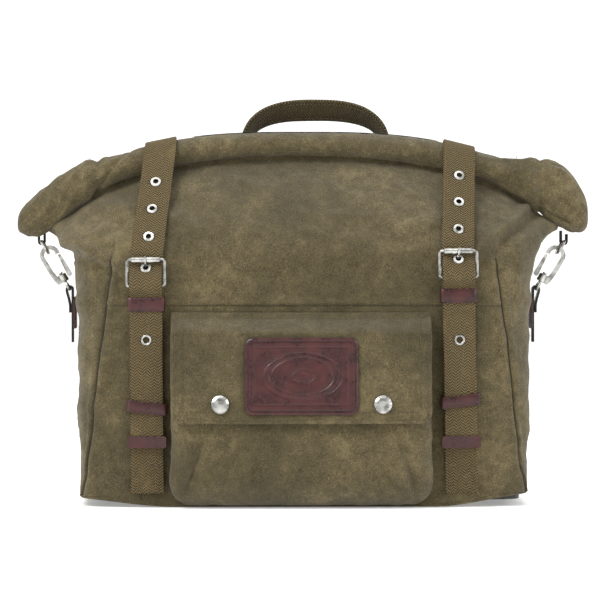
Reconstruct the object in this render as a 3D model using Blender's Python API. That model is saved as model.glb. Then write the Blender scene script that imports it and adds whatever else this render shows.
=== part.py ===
"""Roll-top canvas saddlebag with a front pocket, two buckled straps and clipped roll ends.

Metres, +Z up. The origin is the centre of the base's underside. The pocket faces -Y, and the
flat back, which lies against the motorcycle, faces +Y.
"""

import math

import bmesh
import bpy
import numpy as np
from mathutils import Matrix, Vector, geometry

SIDES = {"left": -1.0, "right": 1.0}
GAP = 0.0004  # between pieces that touch
STEP = 1e-5  # for slopes taken from two neighbouring points

# Canvas body
BASE_WIDTH = 0.420
BASE_DEPTH = 0.170
BASE_THICKNESS = 0.003
BASE_SQUARENESS = 8.0
WALL = 0.0025
SEAM_GAP = 0.0006
SHOULDER_HEIGHT = 0.232
SHOULDER_RISE = 0.65  # share of the wall's grid below the shoulder
SHOULDER_FLARE = 0.004
SHOULDER_SQUARENESS = 5.0
BELLY = 0.004
MOUTH_WIDTH = BASE_WIDTH + 0.056
MOUTH_DEPTH = 0.020
MOUTH_SQUARENESS = 4.0
# The front panel at the base, the shoulder and the mouth.
FRONT_WIDTHS = (BASE_WIDTH - 0.006, BASE_WIDTH - 0.064, BASE_WIDTH - 0.020)
FRONT_SEAM_HEIGHT = 0.187
BOARD = 0.0016
BOARD_CLEARANCE = 0.003  # between a board's edge or face and the canvas
LINER_WALL = 0.001
LINER_INSET = 0.0085
LINER_RISE = 0.86

# Rolled collar
ROLL_LENGTH = BASE_WIDTH + 0.120
ROLL_HEIGHT = 0.336
ROLL_DROOP = 0.070
ROLL_DROOP_POWER = 2.6
ROLL_FORWARD = 0.006
ROLL_HALF_HEIGHT = 0.012
ROLL_HALF_DEPTH = 0.017
EAR_HALF_HEIGHT = 0.026
EAR_START = BASE_WIDTH / 2 - 0.040
EAR_FULL = BASE_WIDTH / 2 + 0.025
ROLL_END_ROUND = 0.014

# Pocket
POCKET_CENTRE = -0.0035
POCKET_WIDTH = 0.242
POCKET_BOTTOM = 0.006
POCKET_TOP = 0.160
POCKET_DEPTH_TOP = 0.014
POCKET_DEPTH = 0.030
POCKET_WALL = 0.002
FLAP_WIDTH = 0.238
FLAP_TOP = 0.179
FLAP_BOTTOM = 0.080
FLAP_WALL = 0.0024
FLAP_STANDOFF = 0.0072  # from the pocket's face to the flap's outer face
FLAP_HINGE_STANDOFF = 0.0022
PATCH_WIDTH = 0.104
PATCH_HEIGHT = 0.070
PATCH_THICKNESS = 0.0018
PATCH_HEIGHT_CENTRE = 0.122
PATCH_CORNER = 0.008
SNAP_SPACING = 0.149
SNAP_HEIGHT = 0.0965
SNAP_RADIUS = 0.009
SNAP_DOME = 0.0030
STUD_RADIUS = 0.006
STUD_THICKNESS = 0.0018

# Straps
STRAP_WIDTH = 0.030
STRAP_THICKNESS = 0.002
STRAP_FOOT_HEIGHT = 0.013
STRAP_FOOT_X = 0.145
STRAP_BUCKLE_X = {"left": 0.146, "right": 0.141}
STRAP_ROLL_X = {"left": 0.134, "right": 0.147}
BUCKLE_HEIGHTS = {"left": 0.228, "right": 0.236}  # the roller's axis
STRAP_CLEARANCE = 0.0016  # over the roll and behind it, where the line bends most
BACK_RUN_RISE = 0.90  # where the top strap is sewn to the back panel
FOLD_LENGTH = 0.028  # of the lower strap, behind the top one
TAIL_HEIGHT = 0.0575
EYELET_PITCH = 0.031
EYELET_DROP = 0.008  # from the roller to the eyelet that the prong is in
EYELET_ROWS = (0, 1, 2, 3)
EYELET_HOLE = 0.0027
EYELET_BARREL = 0.0034
EYELET_RADIUS = 0.0052
EYELET_RIM = 0.0005
EYELET_LIFT = 0.0007  # from the webbing's face to the rim

# Roller buckle
BUCKLE_LENGTH = 0.024  # from the heel bar to the roller
BUCKLE_SIDE_GAP = 0.0008
BUCKLE_WIRE = 0.0015
BUCKLE_CORNER = 0.002
BUCKLE_STANDOFF = 0.0032 + 2 * STRAP_THICKNESS  # the frame's middle, above the strap's base line
ROLLER_RADIUS = 0.0028
ROLLER_LENGTH = 0.026
PRONG_RADIUS = 0.0011
PRONG_RISE = 40.0  # degrees, through the eyelet
PRONG_TIP = 0.003  # past the roller
PRONG_SLOT = 0.004

# Leather keepers and tail caps
LEATHER = 0.0012
KEEPER_SIDE_GAP = 0.0010
FIXED_KEEPER_DROP = 0.017  # below the heel bar
FIXED_KEEPER_HEIGHT = 0.013
LOOSE_KEEPER_HEIGHTS = {"left": 0.0925, "right": 0.0985}
LOOSE_KEEPER_HEIGHT = 0.011
LOOSE_KEEPER_TILTS = {"left": -6.0, "right": 6.0}  # degrees
LOOSE_KEEPER_SIDE_GAP = 0.0022
TAIL_CAP_WIDTH = 0.036
TAIL_CAP_HEIGHT = 0.011
TAIL_CAP_THICKNESS = 0.0048
TAIL_LIFT = 0.0018

# Side clips
SIDE_STRAP_WIDTH = 0.016
SIDE_STRAP_FOOT = 0.150
SIDE_STRAP_TURN = 0.200
SIDE_PATCH_WIDTH = 0.034
SIDE_PATCH_BOTTOM = 0.163
SIDE_PATCH_TOP = 0.193
SIDE_PATCH_THICKNESS = 0.002
RING_BAR_X = BASE_WIDTH / 2 + 0.037
RING_BAR_HEIGHT = 0.2450
RING_WIDTH = 0.022
RING_DEPTH = 0.013
RING_WIRE = 0.0015
RING_SIDES = 9  # flats round the wire
TAB_WIDTH = 0.016
TAB_THICKNESS = 0.0016
EYE_WIRE = 0.0014
EYE_DEPTH = 0.0066
HOOK_BORE = 0.0018
HOOK_STEM = 0.0014
HOOK_BARREL = 0.0042
HOOK_THICKNESS = 0.004
HOOK_REACH = 0.037  # from the swivel's bar to the middle of the hook's bend
HOOK_INSIDE = 0.0056
HOOK_OUTSIDE = 0.0095
GATE_PIVOT = (-0.0072, 0.0130)
GATE_FOOT = 0.0024
GATE_TIP = 0.0013
GATE_THICKNESS = 0.0036

# Handle and back
HANDLE_CENTRE = 0.012
HANDLE_HALF_SPAN = 0.068
HANDLE_BASE = 0.324
HANDLE_CREST = 0.370
HANDLE_SQUARENESS = 2.8
HANDLE_WIDTH = 0.025
HANDLE_THICKNESS = 0.003
HANDLE_Y = 0.0285
HANDLE_TWIST_FOOT = 80.0  # degrees, from the plane of the arch
HANDLE_TWIST_CREST = 40.0
ANCHOR_HALF_LENGTH = 0.115
ANCHOR_THICKNESS = 0.002
LOOP_X = 0.100
LOOP_BOTTOM = 0.196
LOOP_TOP = 0.236
LOOP_BULGE = 0.0085
LOOP_WIDTH = 0.025


# ---------------------------------------------------------------- scene and materials

def clear_scene():
    for obj in list(bpy.data.objects):
        bpy.data.objects.remove(obj, do_unlink=True)


def material(name, colour, roughness, metallic=0.0):
    made = bpy.data.materials.new(name)
    made.use_nodes = True
    shader = made.node_tree.nodes["Principled BSDF"]
    shader.inputs["Base Color"].default_value = (*colour, 1.0)
    shader.inputs["Roughness"].default_value = roughness
    shader.inputs["Metallic"].default_value = metallic
    return made


def all_materials():
    return {
        "canvas": material("waxed_canvas", (0.13, 0.105, 0.055), 0.75),
        "webbing": material("olive_webbing", (0.085, 0.062, 0.030), 0.85),
        "black": material("black_webbing", (0.012, 0.012, 0.012), 0.80),
        "burgundy": material("burgundy_leather", (0.050, 0.012, 0.014), 0.35),
        "nickel": material("nickel_plate", (0.72, 0.72, 0.70), 0.18, 1.0),
        "liner": material("coated_liner", (0.020, 0.020, 0.020), 0.50),
        "board": material("stiff_board", (0.030, 0.030, 0.030), 0.60),
    }


# ---------------------------------------------------------------- closed meshes

def add_object(name, mesh, finish, smooth_angle=35.0):
    mesh.materials.append(finish)
    mesh.shade_smooth()
    mesh.set_sharp_from_angle(angle=math.radians(smooth_angle))
    obj = bpy.data.objects.new(name, mesh)
    bpy.context.scene.collection.objects.link(obj)
    return obj


def closed_object(name, points, faces, finish):
    """An object from points and faces that enclose a volume, with its faces turned outwards."""
    mesh = bpy.data.meshes.new(name)
    mesh.from_pydata([tuple(map(float, p)) for p in points], [], faces)
    shape = bmesh.new()
    shape.from_mesh(mesh)
    bmesh.ops.recalc_face_normals(shape, faces=shape.faces)
    shape.to_mesh(mesh)
    shape.free()
    return add_object(name, mesh, finish)


def grid_faces(rows, columns, wrap=False):
    """Quads of a grid whose points are numbered row by row. wrap joins the last column to the first."""
    faces = []
    for row in range(rows - 1):
        for column in range(columns if wrap else columns - 1):
            after = (column + 1) % columns
            a = row * columns + column
            b = row * columns + after
            faces.append((a, b, b + columns, a + columns))
    return faces


def surface_normals(surface, a, b):
    """Unit normals of surface(a, b), from its slopes along a and along b."""
    along_a = surface(a + STEP, b) - surface(a - STEP, b)
    along_b = surface(a, b + STEP) - surface(a, b - STEP)
    normals = np.cross(along_a, along_b)
    return normals / np.linalg.norm(normals, axis=-1, keepdims=True)


def sheet_object(name, surface, a_values, b_values, outer, inner, finish):
    """A closed sheet between surface + outer * normal and surface + inner * normal.

    a_values may be one row, or one row for each value of b.
    """
    a_grid, b_grid = np.broadcast_arrays(a_values, np.asarray(b_values)[:, None])
    points = surface(a_grid, b_grid)
    normals = surface_normals(surface, a_grid, b_grid)
    rows, columns = a_grid.shape
    count = rows * columns
    skins = np.concatenate([
        (points + outer * normals).reshape(-1, 3),
        (points + inner * normals).reshape(-1, 3),
    ])
    faces = grid_faces(rows, columns)
    faces += [tuple(count + i for i in reversed(face)) for face in faces]
    border = (
        [i for i in range(columns)]
        + [row * columns + columns - 1 for row in range(1, rows)]
        + [(rows - 1) * columns + i for i in range(columns - 2, -1, -1)]
        + [row * columns for row in range(rows - 2, 0, -1)]
    )
    for here, after in zip(border, border[1:] + border[:1]):
        faces.append((after, here, here + count, after + count))
    return closed_object(name, skins, faces, finish)


def swept_object(name, rings, finish, closed=False):
    """A solid through rings of points, one ring after another, with flat ends or closed on itself."""
    rings = np.asarray(rings)
    rows, columns = rings.shape[:2]
    faces = grid_faces(rows, columns, wrap=True)
    if closed:
        last = (rows - 1) * columns
        for column in range(columns):
            after = (column + 1) % columns
            faces.append((last + column, last + after, after, column))
    else:
        faces.append(tuple(range(columns)))
        faces.append(tuple((rows - 1) * columns + i for i in range(columns)))
    return closed_object(name, rings.reshape(-1, 3), faces, finish)


def band_object(name, centres, across, width, thickness, finish):
    """A flat strap along centres, whose width runs along the unit vectors across."""
    centres = np.asarray(centres)
    across = np.broadcast_to(across, centres.shape)
    tangents = unit(np.gradient(centres, axis=0))
    normals = unit(np.cross(across, tangents))
    corners = [(-1, -1), (1, -1), (1, 1), (-1, 1)]
    rings = [centres + 0.5 * (i * width * across + j * thickness * normals) for i, j in corners]
    return swept_object(name, np.stack(rings, axis=1), finish)


def wire_object(name, outline, radius, sides, finish, closed=True):
    """A round wire along an outline of (x, z) points in the plane y = 0."""
    path = np.array([(x, 0.0, z) for x, z in outline])
    if closed:
        tangents = unit(np.roll(path, -1, axis=0) - np.roll(path, 1, axis=0))
    else:
        tangents = unit(np.gradient(path, axis=0))
    plane = np.array([0.0, 1.0, 0.0])
    sideways = np.cross(plane, tangents)
    turns = np.arange(sides) * 2 * math.pi / sides + math.pi / sides
    rings = [path + radius * (math.cos(t) * sideways + math.sin(t) * plane) for t in turns]
    return swept_object(name, np.stack(rings, axis=1), finish, closed)


def turned_object(name, profile, steps, finish, closed=True):
    """A solid of revolution about Z from (radius, height) points. An open profile ends on the axis."""
    shape = bmesh.new()
    ring = [shape.verts.new((radius, 0.0, height)) for radius, height in profile]
    pairs = list(zip(ring, ring[1:] + ring[:1])) if closed else list(zip(ring, ring[1:]))
    edges = [shape.edges.new(pair) for pair in pairs]
    bmesh.ops.spin(
        shape, geom=ring + edges, axis=(0, 0, 1), cent=(0, 0, 0), angle=2 * math.pi,
        steps=steps, use_merge=True, use_duplicate=False,
    )
    bmesh.ops.remove_doubles(shape, verts=shape.verts, dist=1e-6)
    bmesh.ops.recalc_face_normals(shape, faces=shape.faces)
    mesh = bpy.data.meshes.new(name)
    shape.to_mesh(mesh)
    shape.free()
    return add_object(name, mesh, finish)


def plate_object(name, outline, bottom, top, finish, axis="Z"):
    """An outline extruded from bottom to top along Z, or along Y when the outline holds (x, z)."""
    shape = bmesh.new()
    if axis == "Z":
        corners = [(x, y, bottom) for x, y in outline]
        shift = (0, 0, top - bottom)
    else:
        corners = [(x, bottom, z) for x, z in outline]
        shift = (0, top - bottom, 0)
    face = shape.faces.new([shape.verts.new(corner) for corner in corners])
    extruded = bmesh.ops.extrude_face_region(shape, geom=[face], use_keep_orig=True)
    moved = [item for item in extruded["geom"] if isinstance(item, bmesh.types.BMVert)]
    bmesh.ops.translate(shape, verts=moved, vec=shift)
    bmesh.ops.recalc_face_normals(shape, faces=shape.faces)
    mesh = bpy.data.meshes.new(name)
    shape.to_mesh(mesh)
    shape.free()
    return add_object(name, mesh, finish)


def boolean(obj, helper, operation):
    """Adds an exact Boolean to obj, and hides its helper from the render."""
    helper.hide_render = True
    helper.display_type = "WIRE"
    modifier = obj.modifiers.new(helper.name, "BOOLEAN")
    modifier.operation = operation
    modifier.object = helper


def place(obj, matrix):
    obj.matrix_world = matrix
    return obj


def set_origin(obj, point):
    """Moves an unturned object's origin to a world point and leaves its shape where it is."""
    shift = Vector(point) - obj.location
    obj.data.transform(Matrix.Translation(-shift))
    obj.location = Vector(point)
    return obj


# ---------------------------------------------------------------- small shapes and numbers

def unit(vectors):
    return vectors / np.linalg.norm(vectors, axis=-1, keepdims=True)


def eased(x, places, values):
    """A value that moves from one of values to the next with no slope at each of places."""
    x = np.clip(x, places[0], places[-1])
    index = np.clip(np.searchsorted(places, x, side="right") - 1, 0, len(places) - 2)
    places = np.asarray(places, float)
    values = np.asarray(values, float)
    share = (x - places[index]) / (places[index + 1] - places[index])
    return values[index] + (values[index + 1] - values[index]) * share**2 * (3 - 2 * share)


def arc(centre, radius, start, end, count):
    """Points on a circle, from start to end in degrees."""
    angles = np.radians(np.linspace(start, end, count))
    return [(centre[0] + radius * math.cos(a), centre[1] + radius * math.sin(a)) for a in angles]


def rounded_rectangle(width, height, radius, count=4):
    """Corner arcs of a rectangle about the origin, in one loop."""
    x = width / 2 - radius
    y = height / 2 - radius
    corners = [((x, y), 0), ((-x, y), 90), ((-x, -y), 180), ((x, -y), 270)]
    return [point for centre, start in corners for point in arc(centre, radius, start, start + 90, count)]


def superellipse(half_x, half_y, power, count):
    angles = np.arange(count) * 2 * math.pi / count
    x = half_x * np.sign(np.cos(angles)) * np.abs(np.cos(angles)) ** (2 / power)
    y = half_y * np.sign(np.sin(angles)) * np.abs(np.sin(angles)) ** (2 / power)
    return list(zip(x, y))


# ---------------------------------------------------------------- rolled collar's form

def roll_centre(x):
    """Height of the roll's middle line, highest at the centre and drooping to both ears."""
    return ROLL_HEIGHT - ROLL_DROOP * (np.abs(x) / (ROLL_LENGTH / 2)) ** ROLL_DROOP_POWER


def roll_half_height(x):
    return eased(np.abs(x), (0.0, EAR_START, EAR_FULL), (ROLL_HALF_HEIGHT, ROLL_HALF_HEIGHT + 0.002,
                                                        EAR_HALF_HEIGHT))


def roll_end_share(x):
    """How much of the section is left towards a rounded end."""
    past = np.clip((np.abs(x) - ROLL_LENGTH / 2 + ROLL_END_ROUND) / ROLL_END_ROUND, 0.0, 1.0)
    return np.sqrt(1.0 - past**2)


def mouth_height(x):
    """Height of the body's mouth, just under the roll."""
    return roll_centre(x) - roll_half_height(x) - GAP


def roll_top(x):
    return roll_centre(x) + roll_half_height(x)


# ---------------------------------------------------------------- body's form

def body_section(rise):
    """Half width, half depth, squareness and front half width at a rise from 0, base, to 1, mouth."""
    low = np.clip(rise / SHOULDER_RISE, 0.0, 1.0)
    high = np.clip((rise - SHOULDER_RISE) / (1.0 - SHOULDER_RISE), 0.0, 1.0)
    shoulder_width = BASE_WIDTH / 2 + SHOULDER_FLARE
    half_width = BASE_WIDTH / 2 + SHOULDER_FLARE * low
    half_width = half_width + (MOUTH_WIDTH / 2 - shoulder_width) * high**1.5
    half_depth = BASE_DEPTH / 2 + BELLY * np.sin(math.pi * low)
    half_depth = half_depth - (BASE_DEPTH - MOUTH_DEPTH) / 2 * high**1.7
    squareness = BASE_SQUARENESS + (SHOULDER_SQUARENESS - BASE_SQUARENESS) * low
    squareness = squareness + (MOUTH_SQUARENESS - SHOULDER_SQUARENESS) * high
    base, shoulder, mouth = (width / 2 for width in FRONT_WIDTHS)
    front = base + (shoulder - base) * low + (mouth - shoulder) * high
    return half_width, half_depth, squareness, front


def body_height(x, rise):
    """Height at a rise: the walls go straight up to the shoulder, then to the mouth's drooping line."""
    low = np.clip(rise / SHOULDER_RISE, 0.0, None)
    high = (rise - SHOULDER_RISE) / (1.0 - SHOULDER_RISE)
    foot = BASE_THICKNESS + GAP
    below = foot + (SHOULDER_HEIGHT - foot) * low
    above = SHOULDER_HEIGHT + (mouth_height(x) - SHOULDER_HEIGHT) * high
    return np.where(rise < SHOULDER_RISE, below, above)


def body_point(angle, rise):
    """A superellipse section's point at an angle from +X, turning to the back, and at a rise.

    The back is kept flat: no point lies behind half the base's depth.
    """
    half_width, half_depth, squareness, _ = body_section(rise)
    x = half_width * np.sign(np.cos(angle)) * np.abs(np.cos(angle)) ** (2 / squareness)
    y = half_depth * np.sign(np.sin(angle)) * np.abs(np.sin(angle)) ** (2 / squareness)
    y = np.minimum(y, BASE_DEPTH / 2)
    return np.stack([x, y, body_height(x, rise)], axis=-1)


def body_angle(x, rise, face):
    """Angle of the section's point at x, on the front with face -1 or the back with face 1."""
    half_width, _, squareness, _ = body_section(rise)
    share = np.clip(np.abs(x) / half_width, 0.0, 1.0) ** (squareness / 2)
    return face * np.arccos(np.sign(x) * share)


def corner_angle(rise):
    """Angle of the seam between a gusset and the front or back panel."""
    return body_angle(body_section(rise)[3], rise, 1.0)


def front_y(x, rise):
    half_width, half_depth, squareness, _ = body_section(rise)
    return -half_depth * (1.0 - (np.abs(x) / half_width) ** squareness) ** (1.0 / squareness)


def rise_at_height(height):
    """Rise of a height below the shoulder."""
    foot = BASE_THICKNESS + GAP
    return SHOULDER_RISE * (height - foot) / (SHOULDER_HEIGHT - foot)


# ---------------------------------------------------------------- canvas body

def make_panel(name, face, rises, columns, finish):
    """A front (face -1) or back (face 1) panel, as wide as its corner seams allow."""
    rises = np.asarray(rises)
    half = body_section(rises)[3] - SEAM_GAP / 2
    even = np.linspace(-1.0, 1.0, columns) * -face
    shares = np.sign(even) * (1.0 - (1.0 - np.abs(even)) ** 1.8)
    x = half[:, None] * shares[None, :]
    angles = body_angle(x, rises[:, None], face)
    return sheet_object(name, body_point, angles, rises, 0.0, -WALL, finish)


def make_gusset(side, finish):
    rises = np.concatenate([np.linspace(0.0, SHOULDER_RISE, 7), np.linspace(SHOULDER_RISE, 1.0, 8)[1:]])
    limit = corner_angle(rises) - SEAM_GAP / BASE_DEPTH
    shares = np.linspace(-1.0, 1.0, 11)
    angles = limit[:, None] * shares[None, :]
    if SIDES[side] < 0:
        angles = angles + math.pi
    return sheet_object(f"{side}_gusset", body_point, angles, rises, 0.0, -WALL, finish)


def make_base(materials):
    outline = superellipse(BASE_WIDTH / 2, BASE_DEPTH / 2, BASE_SQUARENESS, 40)
    plate_object("base_panel", outline, 0.0, BASE_THICKNESS, materials["canvas"])
    angles = np.arange(40) * 2 * math.pi / 40 + math.pi / 40
    rises = np.zeros_like(angles)
    inset = body_point(angles, rises) - (WALL + BOARD_CLEARANCE) * surface_normals(body_point, angles, rises)
    outline = [(x, y) for x, y, _ in inset]
    bottom = BASE_THICKNESS + GAP
    plate_object("base_stiffener", outline, bottom, bottom + BOARD, materials["board"])


def make_back_board(materials):
    """The stiff board between the back panel and the liner."""
    back = BASE_DEPTH / 2 - WALL - BOARD_CLEARANCE
    low = BASE_THICKNESS + BOARD + 3 * GAP + 0.008
    high = SHOULDER_HEIGHT - 0.020
    width = FRONT_WIDTHS[1] - 0.086
    outline = [(x, z + (low + high) / 2) for x, z in rounded_rectangle(width, high - low, 0.012)]
    plate_object("back_stiffener", outline, back - BOARD, back, materials["board"], axis="Y")


def make_liner(finish):
    """The waterproof inner bag: an inset copy of the body's form, with a floor and an open top."""
    rises = np.concatenate([
        [rise_at_height(BASE_THICKNESS + BOARD + 3 * GAP)],
        np.linspace(0.08, SHOULDER_RISE, 5),
        np.linspace(SHOULDER_RISE, LINER_RISE, 5)[1:],
    ])
    angles = np.arange(32) * 2 * math.pi / 32 + math.pi / 32
    angle_grid, rise_grid = np.broadcast_arrays(angles[None, :], rises[:, None])
    points = body_point(angle_grid, rise_grid)
    normals = surface_normals(body_point, angle_grid, rise_grid)
    outside = points - LINER_INSET * normals
    inside = points - (LINER_INSET + LINER_WALL) * normals
    floor = BASE_THICKNESS + BOARD + 3 * GAP
    outside[0, :, 2] = floor
    inside[0, :, 2] = floor + LINER_WALL
    rings = np.concatenate([outside, inside[::-1]])
    swept_object("inner_liner", rings, finish)


def make_roll(finish):
    """The rolled collar: an oval section that follows the drooping line and grows into the ears."""
    half = ROLL_LENGTH / 2
    middle = np.linspace(-1.0, 1.0, 23) * (half - ROLL_END_ROUND)
    ends = half - ROLL_END_ROUND * (1.0 - np.sin(np.radians([30.0, 60.0, 80.0])))
    stations = np.concatenate([-ends[::-1], middle, ends])
    turns = np.arange(14) * 2 * math.pi / 14 + math.pi / 14
    share = roll_end_share(stations)[:, None]
    x = np.broadcast_to(stations[:, None], (len(stations), len(turns)))
    y = -ROLL_FORWARD + ROLL_HALF_DEPTH * share * np.cos(turns)[None, :]
    z = roll_centre(x) + roll_half_height(x) * share * np.sin(turns)[None, :]
    return swept_object("rolled_collar", np.stack([x, y, z], axis=-1), finish)


def make_body(materials):
    canvas = materials["canvas"]
    seam = float(rise_at_height(FRONT_SEAM_HEIGHT))
    seam_share = SEAM_GAP / SHOULDER_HEIGHT / 2
    upper = np.linspace(SHOULDER_RISE, 1.0, 8)
    make_base(materials)
    make_panel("front_panel_lower", -1.0, np.linspace(0.0, seam - seam_share, 7), 15, canvas)
    make_panel("front_panel_upper", -1.0, np.concatenate([[seam + seam_share], upper]), 15, canvas)
    whole = np.concatenate([np.linspace(0.0, SHOULDER_RISE, 7)[:-1], upper])
    make_panel("back_panel", 1.0, whole, 15, canvas)
    for side in SIDES:
        make_gusset(side, canvas)
    make_back_board(materials)
    make_liner(materials["liner"])
    make_roll(canvas)


# ---------------------------------------------------------------- pocket

def pocket_depth(z):
    """How far the pocket stands off the front panel's plane, closed at the bottom in a round belly."""
    height = POCKET_TOP - POCKET_BOTTOM
    share = np.clip((z - POCKET_BOTTOM) / height, 0.0, 1.0)
    belly = (1.0 - (1.0 - np.clip(share / 0.35, 0.0, 1.0)) ** 2.4) ** (1 / 2.4)
    taper = eased(share, (0.0, 0.30, 1.0), (POCKET_DEPTH, POCKET_DEPTH, POCKET_DEPTH_TOP))
    return belly * taper


def pocket_back(x, z):
    """The front panel's surface that the pocket is sewn to."""
    return front_y(x, rise_at_height(z)) - 2 * GAP - POCKET_WALL


def pocket_point(across, height):
    """The pouch at an angle across from 0, its right seam, to pi, its left seam, and at a height."""
    x = POCKET_CENTRE + POCKET_WIDTH / 2 * np.sign(np.cos(across)) * np.abs(np.cos(across)) ** 0.4
    y = pocket_back(x, height) - pocket_depth(height) * np.abs(np.sin(across)) ** 0.4
    return np.stack([x, y, height], axis=-1)


def hinge_y():
    return float(front_y(0.0, rise_at_height(FLAP_TOP))) - FLAP_HINGE_STANDOFF


def flap_point(across, height):
    """The flap's outer face: straight at its hinge, then over the pocket's mouth and down its front.

    across runs from 1, its right edge, to -1.
    """
    x = POCKET_CENTRE + FLAP_WIDTH / 2 * across
    level = np.minimum(height, POCKET_TOP)
    face = pocket_back(POCKET_CENTRE, level) - pocket_depth(np.maximum(level, FLAP_BOTTOM)) - FLAP_STANDOFF
    face = face + 0.010 * np.abs(across) ** 5 * 0.4
    blend = eased((FLAP_TOP - height) / (FLAP_TOP - POCKET_TOP - 2 * GAP), (0.0, 1.0), (0.0, 1.0))
    y = (hinge_y() - FLAP_WALL / 2) * (1.0 - blend) + face * blend
    return np.stack([x, y, height], axis=-1)


def make_pocket(materials):
    shares = np.array([0.004, 0.02, 0.06, 0.13, 0.24, 0.45, 0.7, 1.0])
    heights = POCKET_BOTTOM + (POCKET_TOP - POCKET_BOTTOM) * shares
    edge = 0.16
    angles = -np.linspace(edge, math.pi - edge, 17)
    sheet_object("front_pocket", pocket_point, angles, heights, 0.0, -POCKET_WALL, materials["canvas"])


def face_frame(x, z, standoff):
    """Matrix at the flap's outer face: +Z outwards, +Y up, moved out by standoff."""
    here = np.array([(x - POCKET_CENTRE) / (FLAP_WIDTH / 2)])
    height = np.array([z])
    point = flap_point(here, height)[0]
    normal = -surface_normals(flap_point, here, height)[0]
    normal = normal if normal[1] < 0 else -normal
    up = unit(np.array([0.0, 0.0, 1.0]) - normal[2] * normal)
    right = np.cross(up, normal)
    matrix = Matrix((right, up, normal)).transposed().to_4x4()
    matrix.translation = Vector(point + standoff * normal)
    return matrix


def make_patch(finish):
    """The leather patch: a rectangle with round corners that follows the flap's face."""
    straight = PATCH_HEIGHT / 2 - PATCH_CORNER
    turn = PATCH_CORNER * np.sin(np.radians([30.0, 60.0, 90.0]))
    offsets = np.concatenate([-straight - turn[::-1], np.linspace(-straight, straight, 5), straight + turn])
    past = np.clip(np.abs(offsets) - straight, 0.0, PATCH_CORNER)
    half = PATCH_WIDTH / 2 - PATCH_CORNER + np.sqrt(PATCH_CORNER**2 - past**2)
    across = half[:, None] * np.linspace(-1.0, 1.0, 7)[None, :] / (FLAP_WIDTH / 2)
    heights = PATCH_HEIGHT_CENTRE + offsets
    return sheet_object("leather_patch", flap_point, across, heights, PATCH_THICKNESS + GAP, GAP, finish)


def make_flap(materials):
    """The flap with what is sewn or riveted to it, all parented to an empty on the hinge's line."""
    pivot = (POCKET_CENTRE, hinge_y(), FLAP_TOP)
    hinge = bpy.data.objects.new("pocket_flap_hinge", None)
    hinge.location = pivot
    bpy.context.scene.collection.objects.link(hinge)
    shares = np.array([0.0, 0.06, 0.12, 0.2, 0.3, 0.45, 0.7, 1.0])
    heights = FLAP_TOP + (FLAP_BOTTOM - FLAP_TOP) * shares
    across = np.linspace(-1.0, 1.0, 13)
    flap = sheet_object(
        "pocket_flap", flap_point, across, heights[::-1], 0.0, -FLAP_WALL, materials["canvas"],
    )
    set_origin(flap, pivot)
    patch = make_patch(materials["burgundy"])
    set_origin(patch, pivot)
    pieces = [flap, patch]
    for side, sign in SIDES.items():
        x = POCKET_CENTRE + sign * SNAP_SPACING / 2
        dome = [(SNAP_RADIUS * math.cos(a), SNAP_DOME * math.sin(a)) for a in np.radians([0, 25, 50, 72])]
        profile = [(0.0, -GAP), (SNAP_RADIUS - 0.0006, -GAP)] + dome + [(0.0, SNAP_DOME)]
        cap = turned_object(f"{side}_snap_cap", profile, 20, materials["nickel"], closed=False)
        place(cap, face_frame(x, SNAP_HEIGHT, 3 * GAP))
        pieces.append(cap)
        profile = [(0.0, -STUD_THICKNESS), (STUD_RADIUS, -STUD_THICKNESS), (STUD_RADIUS, 0.0), (0.0, 0.0)]
        stud = turned_object(f"{side}_snap_stud", profile, 16, materials["nickel"], closed=False)
        place(stud, face_frame(x, SNAP_HEIGHT, -FLAP_WALL - 2 * GAP))
    bpy.context.view_layer.update()
    for piece in pieces:
        keep = piece.matrix_world.copy()
        piece.parent = hinge
        piece.matrix_parent_inverse = hinge.matrix_world.inverted()
        piece.matrix_world = keep


# ---------------------------------------------------------------- straps

def strap_x(side, height):
    """A strap's middle line leans a little between its foot, its buckle and the roll."""
    places = (STRAP_FOOT_HEIGHT, BUCKLE_HEIGHTS[side], ROLL_HEIGHT)
    values = (STRAP_FOOT_X, STRAP_BUCKLE_X[side], STRAP_ROLL_X[side])
    return SIDES[side] * np.interp(height, places, values)


def taut_line(side, shift):
    """The line of a strap pulled tight from its foot up the front, over the roll and down behind it.

    It is the convex hull, in side view, of what the strap lies on, at shift to one side of its middle.
    """
    lowest = float(rise_at_height(STRAP_FOOT_HEIGHT))
    rises = np.linspace(lowest, 1.0, 70)
    x = strap_x(side, body_height(strap_x(side, SHOULDER_HEIGHT), rises)) + shift
    front = np.stack([front_y(x, rises) - GAP, body_height(x, rises)], axis=-1)
    behind_rises = np.linspace(BACK_RUN_RISE, 1.0, 6)
    behind_x = strap_x(side, ROLL_HEIGHT) + shift
    behind = np.stack([
        -front_y(behind_x, behind_rises) + STRAP_CLEARANCE,
        body_height(behind_x, behind_rises),
    ], axis=-1)
    turns = np.radians(np.arange(0, 360, 10))
    roll_x = strap_x(side, ROLL_HEIGHT) + shift
    roll = np.stack([
        -ROLL_FORWARD + (ROLL_HALF_DEPTH + STRAP_CLEARANCE) * np.cos(turns),
        roll_centre(roll_x) + (roll_half_height(roll_x) + STRAP_CLEARANCE) * np.sin(turns),
    ], axis=-1)
    spots = np.concatenate([front, behind, roll])
    hull = geometry.convex_hull_2d([tuple(map(float, spot)) for spot in spots])
    first = hull.index(0)
    order = [hull[(first + i) % len(hull)] for i in range(len(hull))]
    if order[1] == len(front):
        order = [order[0]] + order[:0:-1]
    line = spots[order[:order.index(len(front)) + 1]]
    lengths = np.concatenate([[0.0], np.cumsum(np.linalg.norm(np.diff(line, axis=0), axis=1))])
    even = np.linspace(0.0, lengths[-1], 121)
    y = np.interp(even, lengths, line[:, 0])
    z = np.interp(even, lengths, line[:, 1])
    return np.stack([strap_x(side, z) + shift, y, z], axis=-1)


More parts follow.
